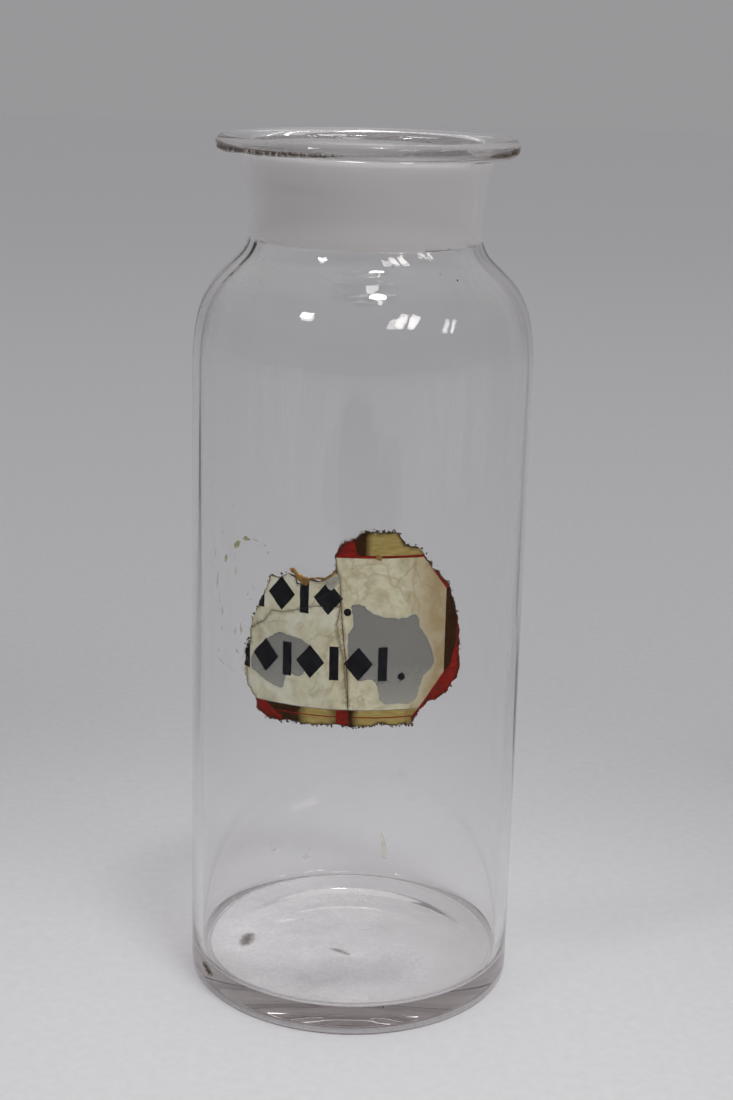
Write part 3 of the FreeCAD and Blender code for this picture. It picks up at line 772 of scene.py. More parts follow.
def cream_look():
    look = Look("cream_paint")
    tone = look.ramp(look.grain(5.0, 4.0, 0.6), [
        (0.25, (0.42, 0.37, 0.22)), (0.42, (0.60, 0.55, 0.38)), (0.58, (0.72, 0.68, 0.50)),
        (0.8, (0.54, 0.47, 0.29)),
    ])
    wave = look.grain(12.0, 4.0, 0.5, (1.0, 0.7, 1.0), 0.6)
    tides = look.ramp(wave, [(0.465, 0.0), (0.49, 0.75), (0.5, 1.0), (0.512, 0.0)])
    grime = look.ramp(look.grain(2.2, 6.0, 0.7), [(0.55, 0.0), (0.75, 0.3)])
    greyer = look.ramp(look.along(0, -32.0, 24.0), [(0.0, 0.30), (0.42, 0.22), (0.52, 0.0)])
    shore = look.maths("ADD", look.along(0, 8.0, 24.0), look.times(look.grain(5.0), 0.5))
    tan = look.ramp(shore, [(0.50, 0.0), (0.62, 0.2), (0.66, 0.6), (0.70, 0.38), (0.92, 0.6), (1.0, 0.8)])
    pale = look.ramp(look.grain(7.0), [(0.48, 0.0), (0.62, 0.6)])
    left = look.ramp(look.along(0, -32.0, 24.0), [(0.35, 1.0), (0.75, 0.25)])
    for share, colour in (
        (look.times(tides, 0.38), (0.30, 0.20, 0.08)), (grime, (0.33, 0.26, 0.14)),
        (greyer, (0.50, 0.51, 0.42)), (tan, (0.36, 0.25, 0.12)), (look.times(pale, left), (0.80, 0.79, 0.68)),
        (look.stored("stain", 0.6), (0.16, 0.09, 0.03)), (look.stored("thin", 0.5), (0.56, 0.53, 0.43)),
    ):
        tone = look.mix(share, tone, colour)
    return look.coat(tone, Specular_IOR_Level=0.0, Roughness=0.55)


def gold_look(name, low, high, stops, spread):
    """Leaf that is darker in places. stops are shares of that darkening from low to high along the label: a
    painted reflection of dim surroundings in the leaf, with blotchy tarnishing on top.
    """
    look = Look(name)
    leaf = look.ramp(look.grain(1.6, 4.0, 0.6, (0.5, 1.6, 1.0)), [
        (0.3, (0.36, 0.25, 0.075)), (0.6, (0.47, 0.36, 0.13)), (0.8, (0.56, 0.46, 0.20)),
    ])
    # Painted reflection: the leaf is made darker in given stretches along the label, where it would mirror
    # dim surroundings.
    painted_dark_reflection = look.ramp(look.along(0, low, high), stops)
    blotches = look.times(look.grain(3.2, 4.0, 0.65), spread)
    # Where the painted reflection and the tarnished blotches together make the leaf darker.
    edge = look.ramp(look.maths("ADD", blotches, painted_dark_reflection), [(0.55, 0.0), (0.95, 1.0)])
    reflection_and_tarnish = look.ramp(look.grain(0.8, 5.0, 0.7), [
        (0.35, (0.016, 0.006, 0.002)), (0.55, (0.048, 0.018, 0.005)), (0.78, (0.13, 0.055, 0.014)),
    ])
    tone = look.mix(look.stored("stain", 0.8), look.mix(edge, leaf, reflection_and_tarnish), (0.03, 0.014, 0.006))
    roughness = look.ramp(edge, [(0.0, 0.36), (1.0, 0.6)])
    return look.coat(tone, Specular_IOR_Level=0.0, Metallic=0.35, Roughness=roughness)


def red_look():
    look = Look("red_paint")
    tone = look.ramp(look.grain(1.4, 4.0, 0.6, (0.5, 1.6, 1.0)), [
        (0.3, (0.15, 0.010, 0.007)), (0.6, (0.30, 0.017, 0.012)), (0.85, (0.38, 0.030, 0.020)),
    ])
    dirt = look.ramp(look.grain(2.6, 5.0, 0.7), [(0.46, 0.0), (0.70, 0.85)])
    tone = look.mix(dirt, tone, (0.06, 0.017, 0.010))
    tone = look.mix(look.stored("stain", 0.75), tone, (0.03, 0.010, 0.006))
    return look.coat(tone, Specular_IOR_Level=0.0, Roughness=0.45)


def black_look():
    look = Look("black_paint")
    thin = look.grain(3.5, 4.0, 0.6)
    tone = look.ramp(thin, [(0.35, (0.006, 0.006, 0.008)), (0.75, (0.020, 0.021, 0.026))])
    return look.coat(tone, Specular_IOR_Level=0.0, Roughness=0.4)


def film_look():
    """Old cement: a smoky see-through film under the panes, brown and closed along their edges."""
    look = Look("cement_film")
    cloud = look.grain(6.0, 4.0, 0.6)
    smoke = look.ramp(cloud, [(0.3, (0.145, 0.137, 0.113)), (0.7, (0.20, 0.192, 0.165))])
    low = look.ramp(look.along(1, -21.0, -9.0), [(0.0, 0.65), (0.5, 0.25), (1.0, 0.0)])
    smoke = look.mix(low, smoke, (0.48, 0.46, 0.38))
    brown = look.ramp(look.grain(0.9, 5.0, 0.7), [
        (0.3, (0.012, 0.007, 0.004)), (0.55, (0.06, 0.03, 0.010)), (0.8, (0.17, 0.09, 0.03)),
    ])
    rim = look.stored("rim")
    veil = look.mix(rim, look.ramp(cloud, [(0.3, 0.52), (0.7, 0.60)]), (0.96, 0.96, 0.96))
    return look.coat(look.mix(rim, smoke, brown), Roughness=0.5, Alpha=veil)


def amber_look():
    look = Look("amber_cement")
    tone = look.ramp(look.noise(1.6, 4.0), [
        (0.3, (0.11, 0.05, 0.008)), (0.55, (0.27, 0.145, 0.025)), (0.8, (0.38, 0.24, 0.07)),
    ])
    return look.coat(
        tone, Roughness=0.3, Subsurface_Weight=0.1, Subsurface_Radius=(1.0, 0.5, 0.2),
        Subsurface_Scale=0.0008, Normal=look.bump(look.noise(0.6), 0.08, 0.6),
    )


def flake_look():
    look = Look("grey_flake")
    tone = look.ramp(look.grain(1.6, 4.0), [
        (0.3, (0.26, 0.245, 0.20)), (0.6, (0.42, 0.41, 0.35)), (0.8, (0.55, 0.54, 0.48)),
    ])
    return look.coat(tone, Roughness=0.5)


def dirt_look():
    look = Look("edge_dirt")
    tone = look.ramp(look.noise(0.7, 4.0), [
        (0.3, (0.012, 0.010, 0.008)), (0.6, (0.06, 0.036, 0.018)), (0.85, (0.15, 0.10, 0.05)),
    ])
    return look.coat(tone, Roughness=0.85, Normal=look.bump(look.noise(0.2), 0.05, 0.8))


# --- Label pieces ---


def box(left, down, right, up):
    return [(left, down), (right, down), (right, up), (left, up)]


def mark_row(start, middle, count):
    """The outlines of bars and lozenges in turn, and of the dot that ends the row on its base line."""
    marks = []
    half, rise = LOZENGE_WIDTH / 2, MARK_HEIGHT / 2
    for index in range(count):
        across = start + index * PITCH
        if index % 2:
            marks.append([
                (across - half, middle), (across, middle - rise), (across + half, middle),
                (across, middle + rise),
            ])
        else:
            marks.append(box(across - BAR_WIDTH / 2, middle - rise, across + BAR_WIDTH / 2, middle + rise))
    across, up, half = start + (count - 0.2) * PITCH, middle - rise + DOT / 2, DOT / 2
    marks.append([(across + half * math.cos(turn), up + half * math.sin(turn)) for turn in circle(14)])
    return marks


def make_panes(shards, look):
    def chipped(point):
        """How far the pane's face stands back from its edge: a lot where the glass has flaked away."""
        flake = bumpiness(point[0] / 3.0, point[1] / 3.0, 51.0)
        return -0.03 - from_middle(point) * max(0.05, 0.28 + 0.7 * flake)

    def bulging(point):
        return 0.5 * chipped(point) + 0.12 * wander(point, 1.1, 57.0)[0]

    for name, outline in shards.items():
        mesh = bmesh.new()
        rings = []
        for edge, radius in ((outline, PANE_BACK), (grown(outline, chipped), PANE_FACE)):
            corners, faces, middles = cover([edge])
            points = {}
            for face in faces[within(middles, edge)]:
                for corner in face:
                    if corner not in points:
                        points[corner] = mesh.verts.new(on_wall(*corners[corner], radius))
                mesh.faces.new([points[corner] for corner in face])
            rings.append([mesh.verts.new(on_wall(*point, radius)) for point in edge])
        halfway = (PANE_BACK + PANE_FACE) / 2
        middle = [mesh.verts.new(on_wall(*point, halfway)) for point in grown(outline, bulging)]
        join(mesh, rings[0], middle)
        join(mesh, middle, rings[1])
        bmesh.ops.remove_doubles(mesh, verts=mesh.verts, dist=WELD)
        pane = as_piece(name, mesh, 35.0)
        remember(pane, [
            (math.atan2(vert.co.x, -vert.co.y) * PANE_FACE, vert.co.z / MM - LABEL_MIDDLE)
            for vert in pane.data.vertices
        ])
        dress(pane, look, "label_glass", "label_" + name)


def make_paint(shards, lost):
    """The cream octagon, and around it the red parts, the thin lines and the gold."""
    corner_across = CREAM_RIGHT - CLIP_ACROSS
    corner_top, corner_low = CREAM_TOP - CLIP_UP, CREAM_BOTTOM + CLIP_UP
    line_end = corner_across + 0.6
    octagon = drawn(brushed, [
        (LEFT_END, CREAM_TOP), (corner_across, CREAM_TOP), (CREAM_RIGHT, corner_top),
        (CREAM_RIGHT, corner_low), (corner_across, CREAM_BOTTOM), (LEFT_END, CREAM_BOTTOM),
    ], 0.8)
    top = [(LEFT_END, GOLD_TOP), (-0.1, GOLD_TOP), (-0.9, 22.4), (-1.2, UP_END), (LEFT_END, UP_END)]
    corner = [
        (corner_across, CREAM_TOP), (CREAM_RIGHT, corner_top), (25.9, 10.4), (25.9, UP_END), (16.0, UP_END),
        (line_end, GOLD_TOP),
    ]
    rim = [
        (CREAM_RIGHT, corner_low), (25.9, -11.0), (GOLD_END, -5.0), (GOLD_END, 2.7), (25.9, 9.0),
        (RIGHT_END, 9.0), (RIGHT_END, DOWN_END), (16.0, DOWN_END), (15.0, CREAM_BOTTOM - 2.2),
        (corner_across, CREAM_BOTTOM),
    ]
    block = box(-4.8, DOWN_END, -1.7, GOLD_BOTTOM)
    left = [
        (LEFT_END, GOLD_BOTTOM), (-24.6, GOLD_BOTTOM), (-19.6, -25.0), (-18.0, DOWN_END),
        (LEFT_END, DOWN_END),
    ]
    red = [drawn(brushed, outline, 0.8) for outline in (top, corner, rim, block, left)]
    upper_line = [
        (LEFT_END, CREAM_TOP), (corner_across, CREAM_TOP), (line_end, GOLD_TOP), (LEFT_END, GOLD_TOP),
    ]
    lower_line = box(-21.0, PINSTRIPE - PINSTRIPE_WIDTH / 2, 15.0, PINSTRIPE + PINSTRIPE_WIDTH / 2)
    lines = [drawn(brushed, outline, 1.5) for outline in (upper_line, lower_line)]
    bands = [drawn(brushed, outline, 0.8) for outline in (
        box(LEFT_END, GOLD_TOP, RIGHT_END, UP_END), box(CREAM_RIGHT, CREAM_BOTTOM, RIGHT_END, CREAM_TOP),
        box(LEFT_END, DOWN_END, RIGHT_END, GOLD_BOTTOM),
    )]
    corners, faces, middles = cover(shards + lost + [octagon] + red + lines + bands)
    cream = within(middles, octagon)
    is_red = ~cream & within(middles, *red)
    is_line = ~cream & ~is_red & within(middles, *lines)
    rest = ~cream & ~is_red & ~is_line
    kept = within(middles, *shards)
    stored = {
        "stain": (1.0 - distance(corners, *shards) / 0.3).clip(0.0, 1.0),
        "thin": (1.0 - distance(corners, *lost) / 0.9).clip(0.0, 1.0),
    }

    def paint(name, mask, back, look, slot, node):
        dress(sheet(name, corners, faces[kept & mask], back, PAINT_FACE, stored), look, slot, node)

    red_paint = red_look()
    cream &= ~within(middles, *lost)
    paint("cream_ground_paint", cream, CREAM_BACK, cream_look(), "cream_paint", "cream_ground")
    paint("red_border", is_red, GILT_BACK, red_paint, "red_paint", "red_patches")
    paint("red_pinstripes", is_line, GILT_BACK, red_paint, "red_paint", "red_lines")
    # Each gold band gets its painted reflection of dim surroundings, and its blotchy tarnishing, from
    # GOLD_BANDS.
    for (side, low, high, spread, reflection_and_tarnish), band in zip(GOLD_BANDS, bands):
        look = gold_look(f"gold_{side}", low, high, reflection_and_tarnish, spread)
        mask = rest & within(middles, band)
        paint(f"gold_{side}_leaf", mask, GILT_BACK, look, "gold_leaf", f"gold_border_{side}")


def make_marks(shards):
    look = black_look()
    for title, row in (("upper", UPPER_ROW), ("lower", LOWER_ROW)):
        marks = [drawn(brushed, outline) for outline in mark_row(*row)]
        corners, faces, middles = cover(shards + marks, 1.2)
        kept = faces[within(middles, *shards) & within(middles, *marks)]
        piece = sheet(f"{title}_row_marks", corners, kept, MARK_BACK, MARK_FACE)
        dress(piece, look, "black_paint", f"title_marks_{title}")


def make_cement(outer, shards):
    """The film under everything, and the amber and the grey flake that show along the broken edges."""
    def ooze(point):
        return max(0.02, 0.16 + 0.42 * bumpiness(point[0] / 1.8, point[1] / 1.8, 61.0))

    spread = grown(outer, ooze)
    corners, faces, middles = cover([spread, outer])
    rim = (1.0 - distance(corners, outer) / 0.25).clip(0.0, 1.0)
    rim = np.where(within(corners, outer), rim, 1.0)
    rim = np.maximum(rim, (1.0 - distance(corners, *shards.values()) / 0.3).clip(0.0, 1.0))
    film = sheet("cement_film", corners, faces[within(middles, spread)], FILM_BACK, FILM_FACE, {"rim": rim})
    dress(film, film_look(), "amber_cement", "label_cement")

    chip = drawn(worn_away, rounded(AMBER_CHIP, 1), 0.5)

    def crust(across, up):
        deep = distance(np.array([(across, up)]), chip)[0]
        lumps = 0.8 + 0.4 * bumpiness(across / 1.2, up / 1.2, 67.0)
        return FILM_FACE + 0.05 + 0.75 * (1.0 - math.exp(-deep / 0.5)) * lumps

    def dome(across, up):
        far = math.hypot(across - AMBER_DROP[0], up - AMBER_DROP[1])
        return PANE_BACK + 0.03 + 0.02 * max(0.0, 1.0 - far)

    amber = amber_look()
    back = FILM_FACE - 0.02
    patch("amber_chip", chip, 0.5, amber, "amber_cement", back, crust, sharp=60.0)
    bead = ribbon(drawn(broken, TORN_BEAD, 0.3, False), 0.55)
    patch("amber_bead", bead, 0.5, amber, "amber_cement", back, FILM_FACE + 0.45)
    patch("amber_drop", smear(*AMBER_DROP, 1.7, 1.5, 0.0), 0.3, amber, "amber_cement", PANE_BACK - 0.02, dome)
    flake = drawn(worn_away, rounded(GREY_FLAKE, 1), 0.4)
    patch("grey_flake", flake, 0.5, flake_look(), "cream_paint", MARK_BACK, MARK_FACE + 0.03)


def make_crack_lines(look):
    """Brown dirt drawn into the cracks of the panes."""
    for index, (line, width) in enumerate((
        (CRACK_TOP + CRACK_RIGHT + CRACK_BOTTOM[1:], 0.11), (CRACK_LEVEL, 0.11),
        (CRACK_LEVEL[-1:] + CRACK_LEFT + CRACK_RIGHT[-1:], 0.11), (CRACK_CHIP, 0.11), (CRACK_SMALL, 0.09),
    )):
        outline = ribbon(drawn(broken, line, 0.4, False), width)
        patch(f"crack_dirt_{index}", outline, 3.0, look, "amber_cement", MARK_BACK, MARK_FACE + 0.02)


def make_label():
    shards = {name: grown(drawn(broken, outline), -HALF_CRACK) for name, outline in SHARDS.items()}
    under = [grown(outline, -HALF_CRACK) for outline in shards.values()]
    outer = drawn(broken, OUTER_EDGE)
    make_panes(shards, pane_look())
    make_paint(under, [drawn(worn_away, rounded(outline), 0.5) for outline in (LOST_RIGHT, LOST_LEFT)])
    make_marks(under)
    make_cement(outer, shards)
    dirt = dirt_look()
    make_crack_lines(dirt)
    make_edge_dirt(outer, dirt)


# --- Dirt, residue and scratches ---

# Flecks of cement: across, up, length, width, turn in degrees, and strength.
RESIDUE = [
    (-39.6, 13.4, 2.4, 0.9, 72.0, 0.8), (-35.0, 18.2, 3.2, 1.3, 48.0, 1.0),
    (-31.8, 20.2, 2.6, 1.2, 5.0, 1.0), (-28.8, 20.4, 2.8, 0.4, -8.0, 0.6),
    (-25.6, 19.6, 1.6, 0.5, -35.0, 0.5), (-24.6, 17.8, 0.9, 0.6, -60.0, 0.4),
    (-40.7, 20.4, 1.6, 0.5, 60.0, 0.35), (-36.8, 27.8, 1.0, 0.4, 70.0, 0.3),
    (-44.6, 13.9, 3.0, 0.5, 85.0, 0.3), (-35.5, 14.5, 1.0, 0.6, 0.0, 0.35),
    (-43.4, 6.5, 4.5, 0.9, 84.0, 0.3), (-42.3, 2.0, 2.4, 0.6, 80.0, 0.35),
    (-41.1, -1.0, 3.0, 0.8, 95.0, 0.35), (-35.5, 10.8, 2.6, 0.6, 80.0, 0.35),
    (-29.0, 7.7, 1.6, 0.4, 0.0, 0.4), (-31.0, 5.6, 1.2, 0.5, 60.0, 0.4), (-29.9, 4.3, 0.9, 0.5, 70.0, 0.35),
    (-33.4, -4.3, 3.2, 0.9, 92.0, 0.75), (-35.5, -5.4, 2.4, 0.7, 88.0, 0.4),
    (-41.3, -5.9, 1.3, 0.9, 20.0, 0.3), (-34.9, -10.5, 1.8, 0.6, 120.0, 0.4),
    (-42.9, -12.7, 1.6, 0.5, 60.0, 0.25), (-41.8, -15.0, 4.2, 0.4, -22.0, 0.45),
    (-37.4, -16.2, 3.4, 0.35, -30.0, 0.4),
]
# Marks on the glass: outlines as (across, up), on the floor as (x, y).
CLAW = [
    (8.1, -55.9), (8.5, -56.5), (9.0, -58.4), (9.45, -60.9), (9.6, -62.9), (9.3, -63.4), (8.8, -63.2),
    (8.6, -62.0), (8.35, -59.6), (8.0, -57.4),
]
HOOK = [(-23.1, -61.6), (-22.6, -62.9), (-21.9, -63.5), (-21.2, -63.1), (-21.0, -62.2)]
SCAR = [(-6.0, -8.0), (-3.5, -9.0), (-1.0, -10.8), (0.6, -12.4)]
# Dirt on the lip: a width, a strength, and a line of (degrees from the front, height).
LIP_DIRT = (
    (2.2, 0.9, (-88, 232.9), (-76, 232.3), (-62, 231.9), (-50, 231.7)),
    (2.0, 0.9, (50, 231.8), (62, 231.9), (76, 232.3), (88, 232.9)),
    (1.5, 1.0, (-64, 232.0), (-48, 231.7), (-33, 231.7), (-20, 231.9), (-8, 232.1)),
    (0.8, 0.9, (-52, 233.0), (-40, 232.9), (-28, 232.7), (-15, 232.6)),
    (0.7, 0.8, (-10, 232.0), (2, 232.2), (14, 232.2)),
    (1.2, 1.0, (12, 232.7), (24, 232.8), (36, 233.0), (47, 233.1)),
    (1.3, 1.0, (41, 231.6), (50, 231.5), (62, 231.7)),
)
# Specks on the shoulder: degrees from the front, height, distance from the axis, and size.
SPECKS = (
    (40.0, 201.6, 35.9, 0.7), (33.0, 203.2, 34.3, 0.4), (-44.0, 200.0, 37.4, 0.35),
    (12.0, 205.0, 32.8, 0.3), (58.0, 190.0, 42.9, 0.35), (-20.0, 196.0, 40.0, 0.25),
)


def smear(across, up, length, width, turn):
    """The outline of an uneven oval blot."""
    swing = math.radians(turn)
    outline = []
    for angle in circle(28):
        along, aside = length / 2 * math.cos(angle), width / 2 * math.sin(angle)
        spot = np.array((
            across + along * math.cos(swing) - aside * math.sin(swing),
            up + along * math.sin(swing) + aside * math.cos(swing),
        ))
        outline.append(spot + 0.5 * min(width, 1.0) * wander(spot, 0.8, 71.0))
    return outline


def blot(name, outline, look, slot, inner, outer, strength, fade, *nodes, spacing=0.3, lay=on_wall):
    """A thin smear whose body thins out over fade towards its edge."""
    def body(corners):
        return strength * (0.15 + 0.85 * (distance(corners, outline) / fade).clip(0.0, 1.0))

    patch(name, outline, spacing, look, slot, inner, outer, *nodes, body=body, lay=lay)


def smear_look(name, stops, size, cut):
    """Dried dirt that lets the glass show through where it is thin. stops are its colours by its grain."""
    look = Look(name)
    tone = look.ramp(look.noise(size, 5.0, 0.65), stops)
    holes = look.ramp(look.noise(size * 0.8, 5.0, 0.7), [(cut - 0.12, 0.0), (cut + 0.12, 1.0)])
    alpha = look.times(holes, look.stored("body"))
    return look.coat(tone, Roughness=0.7, Specular_IOR_Level=0.2, Alpha=alpha)


def make_residue():
    look = smear_look("cement_flecks", [
        (0.3, (0.30, 0.28, 0.13)), (0.55, (0.44, 0.42, 0.22)), (0.8, (0.52, 0.51, 0.38)),
    ], 1.2, 0.38)
    for index, (*shape, strength) in enumerate(RESIDUE):
        nodes = () if index else ("cement_residue",)
        name, back, face = f"residue_{index:02d}", BODY + SKIN, BODY + 0.12
        blot(name, smear(*shape), look, "cement_flecks", back, face, strength, 0.3, *nodes)


def crumbs(name, spots, look, slot, seed):
    """Many small lumps as one piece. Each spot is a place in metres and a size in millimetres."""
    draw = random.Random(seed)
    mesh = bmesh.new()
    for place, size in spots:
        lump = bmesh.ops.create_icosphere(mesh, subdivisions=1, radius=size / 2 * MM)["verts"]
        stretch = Matrix.Diagonal((1.0, draw.uniform(0.5, 0.9), draw.uniform(0.6, 1.4), 1.0))
        turn = Quaternion((draw.uniform(-1, 1), draw.uniform(-1, 1), draw.uniform(-1, 1), 0.6)).normalized()
        move = Matrix.Translation(Vector(place)) @ turn.to_matrix().to_4x4() @ stretch
        for vert in lump:
            vert.co = move @ (vert.co * draw.uniform(0.75, 1.2))
    dress(as_piece(name, mesh, 70.0), look, slot)


def make_edge_dirt(outer, look):
    """Crumbs of dirt caught along the broken edge, thickest at the top and the bottom."""
    draw = random.Random(11)
    spots = []
    for point in divided(outer, 0.22):
        across, up = point
        thick = 0.15
        if up > 24.4 or up < -24.6:
            thick = 0.95
        elif across > 23.0 or up > 20.0:
            thick = 0.45
        elif across < -26.0:
            thick = 0.28
        clump = 0.5 + bumpiness(across / 2.0, up / 2.0, 81.0)
        if draw.random() > thick * (0.4 + clump):
            continue
        size = draw.uniform(0.2, 0.72)
        away = np.array((draw.gauss(0.0, 0.22), draw.gauss(0.0, 0.22)))
        away += 0.25 * np.array((across, up)) / max(1.0, math.hypot(across, up))
        radius = BODY + draw.uniform(0.05, 0.4)
        spots.append((on_wall(*(point + away), radius), size))
    crumbs("edge_crumbs", spots, look, "amber_cement", 12)


def make_painted_light_streaks():
    """Faint white streaks down the outside of the jar above the label: painted streaks of reflected light."""
    look = Look("wall_light_streaks")
    streak_grain = look.grain(5.0, 4.0, 0.6, (1.0, 0.07, 1.0))
    streak = look.ramp(streak_grain, [(0.46, 0.0), (0.56, 0.55), (0.60, 0.35), (0.72, 1.0)])
    # Painted light: a faint white veil in vertical streaks that stands in for light reflected in the glass.
    light_streaks = look.coat((0.85, 0.85, 0.86), Roughness=0.6, Alpha=look.times(streak, look.stored("body")))
    low, high = 27.0, 71.0

    def skin(across, up):
        rise = max(0.0, LABEL_MIDDLE + up - SHOULDER_START)
        return SOFT_CENTRE[0] + math.sqrt(SOFT**2 - rise**2)

    def proud(across, up):
        return skin(across, up) + 0.02

    for index, (left, right) in enumerate(((-34.0, -4.0), (12.0, 42.0))):
        def body(corners):
            across, up = corners.T
            aside = 1.0 - (np.abs(across - (left + right) / 2) / (right - left) * 2).clip(0.0, 1.0) ** 2
            return 0.085 * aside * ((up - low) / 16.0).clip(0.0, 1.0) * ((high - up) / 10.0).clip(0.0, 1.0)

        outline = divided(box(left, low, right, high), 1.5)
        patch(f"wall_light_streaks_{index}", outline, 2.0, light_streaks, "jar_glass", skin, proud, body=body)


def make_floor_dust_and_light():
    """The dry white dust on the inside of the floor, thicker to the left and towards the front. Its extra
    thickness on the left also paints in brighter light on that side.
    """
    look = Look("floor_dust_and_light")
    cloud = look.ramp(look.noise(16.0, 5.0, 0.6), [(0.3, 0.55), (0.7, 1.0)])
    grain = look.noise(1.1, 4.0, 0.75)
    veil = look.times(cloud, look.ramp(grain, [(0.3, 0.75), (0.7, 1.0)]))
    dust = look.coat(
        look.ramp(grain, [(0.3, (0.90, 0.90, 0.91)), (0.7, (0.97, 0.97, 0.98))]), Roughness=0.9,
        Specular_IOR_Level=0.0, Alpha=look.times(veil, look.stored("body")),
    )

    def body(corners):
        # Partly painted light: the dust thickens towards the left and front, and on the left this also stands
        # in for brighter light.
        side = (corners @ np.array((-0.95, -0.3)) / FLOOR_EDGE).clip(-1.0, 1.0)
        near = np.hypot(*corners.T) / FLOOR_EDGE
        return (0.48 + 0.41 * side) * (1.0 - 0.5 * near.clip(0.0, 1.0) ** 8)

    outline = [np.array((FLOOR_EDGE * math.cos(turn), FLOOR_EDGE * math.sin(turn))) for turn in circle(120)]
    low, high = FLOOR + 0.01, FLOOR + 0.03
    patch("floor_dust_and_light", outline, 3.0, dust, "jar_glass", low, high, body=body, lay=on_floor)


def make_marks_on_glass():
    white = smear_look("dry_scuffs", [
        (0.3, (0.62, 0.60, 0.53)), (0.6, (0.80, 0.78, 0.71)), (0.8, (0.88, 0.87, 0.83)),
    ], 2.0, 0.30)
    brown = smear_look("brown_dirt", [
        (0.3, (0.03, 0.02, 0.012)), (0.55, (0.10, 0.07, 0.04)), (0.8, (0.22, 0.18, 0.12)),
    ], 1.0, 0.40)
    on_skin = ("jar_glass", BODY + SKIN, BODY + 0.06)
    blot("scuff_claw", grown(rounded(CLAW), 0.12), white, *on_skin, 0.9, 0.25)
    blot("scuff_hook", ribbon(divided(HOOK, 0.3, False), 0.55), white, *on_skin, 0.55, 0.15)
    blot("scuff_dot", smear(-12.5, -63.6, 2.0, 1.5, 40.0), white, *on_skin, 0.4, 0.6)
    blot("heel_dirt", smear(-48.7, -108.1, 7.4, 2.6, -8.0), brown, *on_skin, 0.8, 1.0)
    inside = ("jar_glass", FLOOR + 0.05, FLOOR + 0.09)
    smudge = smear(-29.3, -4.0, 9.0, 4.6, 80.0)
    blot("floor_smudge", smudge, brown, *inside, 0.55, 2.2, spacing=0.6, lay=on_floor)
    scar = ribbon(divided(SCAR, 0.5, False), 2.2)
    blot("floor_scar", scar, brown, *inside, 0.28, 1.0, spacing=0.6, lay=on_floor)
    make_floor_dust_and_light()
    make_painted_light_streaks()

    def ragged(point):
        return point + np.array((0.0, 0.12)) * wander(point, 2.5, 91.0)

    on_rim = ("jar_glass", LIP - 0.05, LIP + 0.03)
    for index, (width, strength, *line) in enumerate(LIP_DIRT):
        outline = ribbon(drawn(ragged, line, 0.8, False), width)
        blot(f"lip_dirt_{index}", outline, brown, *on_rim, strength, 0.12, spacing=1.5, lay=on_lip)
    spots = [(on_lip(*place), size) for *place, size in SPECKS]
    crumbs("shoulder_specks", spots, dirt_look(), "jar_glass", 13)


# --- Stage ---

# The lamps stand around the shoulder: a direction and a distance in metres, a width, a height and a
# radiance, a tilt in degrees, and a colour.
SHOULDER_PLACE = Vector((0.0, 0.0, 0.19))
WHITE = (1.0, 1.0, 1.0)
WARM = (1.0, 0.97, 0.95)
LAMPS = (
    ("lamp_left", (-0.55, -0.50, 0.66), 1.6, 0.20, 0.18, 26.0, 0.0, WHITE),
    ("lamp_window_1", (0.38, -0.64, 0.66), 1.6, 0.14, 0.50, 9.0, -30.0, WARM),
    ("lamp_window_2", (0.51, -0.61, 0.64), 1.6, 0.14, 0.50, 9.0, -30.0, WARM),
    ("lamp_side_1", (0.78, -0.41, 0.48), 1.6, 0.07, 0.42, 7.0, -35.0, WARM),
    ("lamp_side_2", (0.84, -0.35, 0.44), 1.6, 0.07, 0.42, 7.0, -35.0, WARM),
    ("lamp_top", (0.06, -0.13, 0.98), 1.25, 0.12, 0.06, 8.0, 0.0, WHITE),
    ("lamp_tube", (0.06, -0.20, 0.97), 1.25, 0.50, 0.05, 2.5, 0.0, WHITE),
    ("lamp_rim", (0.02, 0.62, 0.79), 1.25, 0.13, 0.08, 4.5, 0.0, WHITE),
    ("lamp_back", (0.02, 0.87, 0.50), 1.5, 0.24, 0.05, 5.0, 0.0, WHITE),
)


def make_floor():
    look = Look("stage_floor")
    tone = look.ramp(look.noise(3.0, 6.0), [(0.3, (0.60, 0.605, 0.615)), (0.7, (0.64, 0.645, 0.655))])
    bpy.ops.mesh.primitive_grid_add(size=9.0, x_subdivisions=8, y_subdivisions=8, location=(0, 0, 0))
    floor = bpy.context.object
    floor.name = "stage_floor"
    floor.data.materials.append(look.coat(tone, Roughness=0.7))


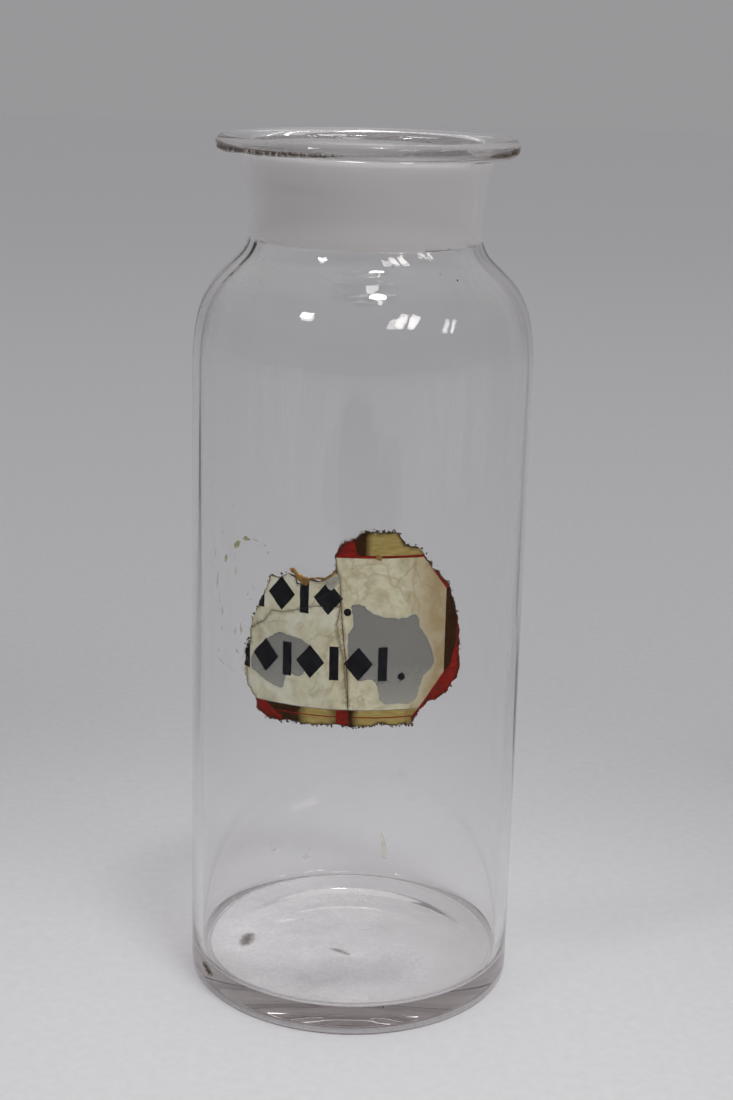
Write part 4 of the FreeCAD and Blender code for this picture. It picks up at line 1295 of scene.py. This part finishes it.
def place_lamp(data, place, aim, tilt=0.0):
    """Hangs the lamp at place, facing aim, turned by tilt degrees about its own axis."""
    lamp = add(data.name, data)
    lamp.location = place
    turn = (place - aim).to_track_quat("Z", "Y") @ Quaternion((0.0, 0.0, 1.0), math.radians(tilt))
    lamp.rotation_euler = turn.to_euler()


def make_lights():
    for name, towards, distance_off, width, height, radiance, tilt, colour in LAMPS:
        data = bpy.data.lights.new(name, "AREA")
        data.shape = "RECTANGLE"
        data.size = width
        data.size_y = height
        data.energy = radiance * math.pi * width * height
        data.color = colour
        place_lamp(data, SHOULDER_PLACE + Vector(towards).normalized() * distance_off, SHOULDER_PLACE, tilt)
    pool = bpy.data.lights.new("lamp_pool", "SPOT")
    pool.energy = 28.0
    pool.shadow_soft_size = 0.09
    pool.spot_size = math.radians(21.0)
    pool.spot_blend = 1.0
    place_lamp(pool, Vector((0.14, -0.30, 1.40)), Vector((0.0, -0.08, 0.0)))


def make_world():
    """Even grey behind the jar, lighter overhead and darker in front of it."""
    look = Look("studio", "worlds", "OutputWorld")
    parts = look.node("SeparateXYZ", Vector=look.node("TexCoord").outputs["Generated"]).outputs
    shades = []
    for axis, stops in (
        ("Y", ((0.0, 0.10), (0.35, 0.16), (0.75, 0.30), (1.0, 0.315))),
        ("Z", ((0.0, 0.0), (0.55, 0.0), (0.8, 0.22), (1.0, 0.40))),
    ):
        greys = [(position, (shade, shade * 0.985, shade * 1.01)) for position, shade in stops]
        shades.append(look.ramp(look.share(parts[axis], -1.0, 1.0), greys, "EASE"))
    total = look.mix(1.0, *shades, blend="ADD")
    look.surface(look.node("Background", Color=total).outputs["Background"])
    bpy.context.scene.world = look.block


def set_render():
    scene = bpy.context.scene
    scene.view_settings.view_transform = "Standard"
    scene.cycles.max_bounces = 32
    scene.cycles.transmission_bounces = 32
    scene.cycles.transparent_max_bounces = 32
    scene.cycles.glossy_bounces = 12
    scene.cycles.diffuse_bounces = 4


make_camera()
set_render()
make_floor()
make_lights()
make_world()
make_jar()
make_label()
make_residue()
make_marks_on_glass()
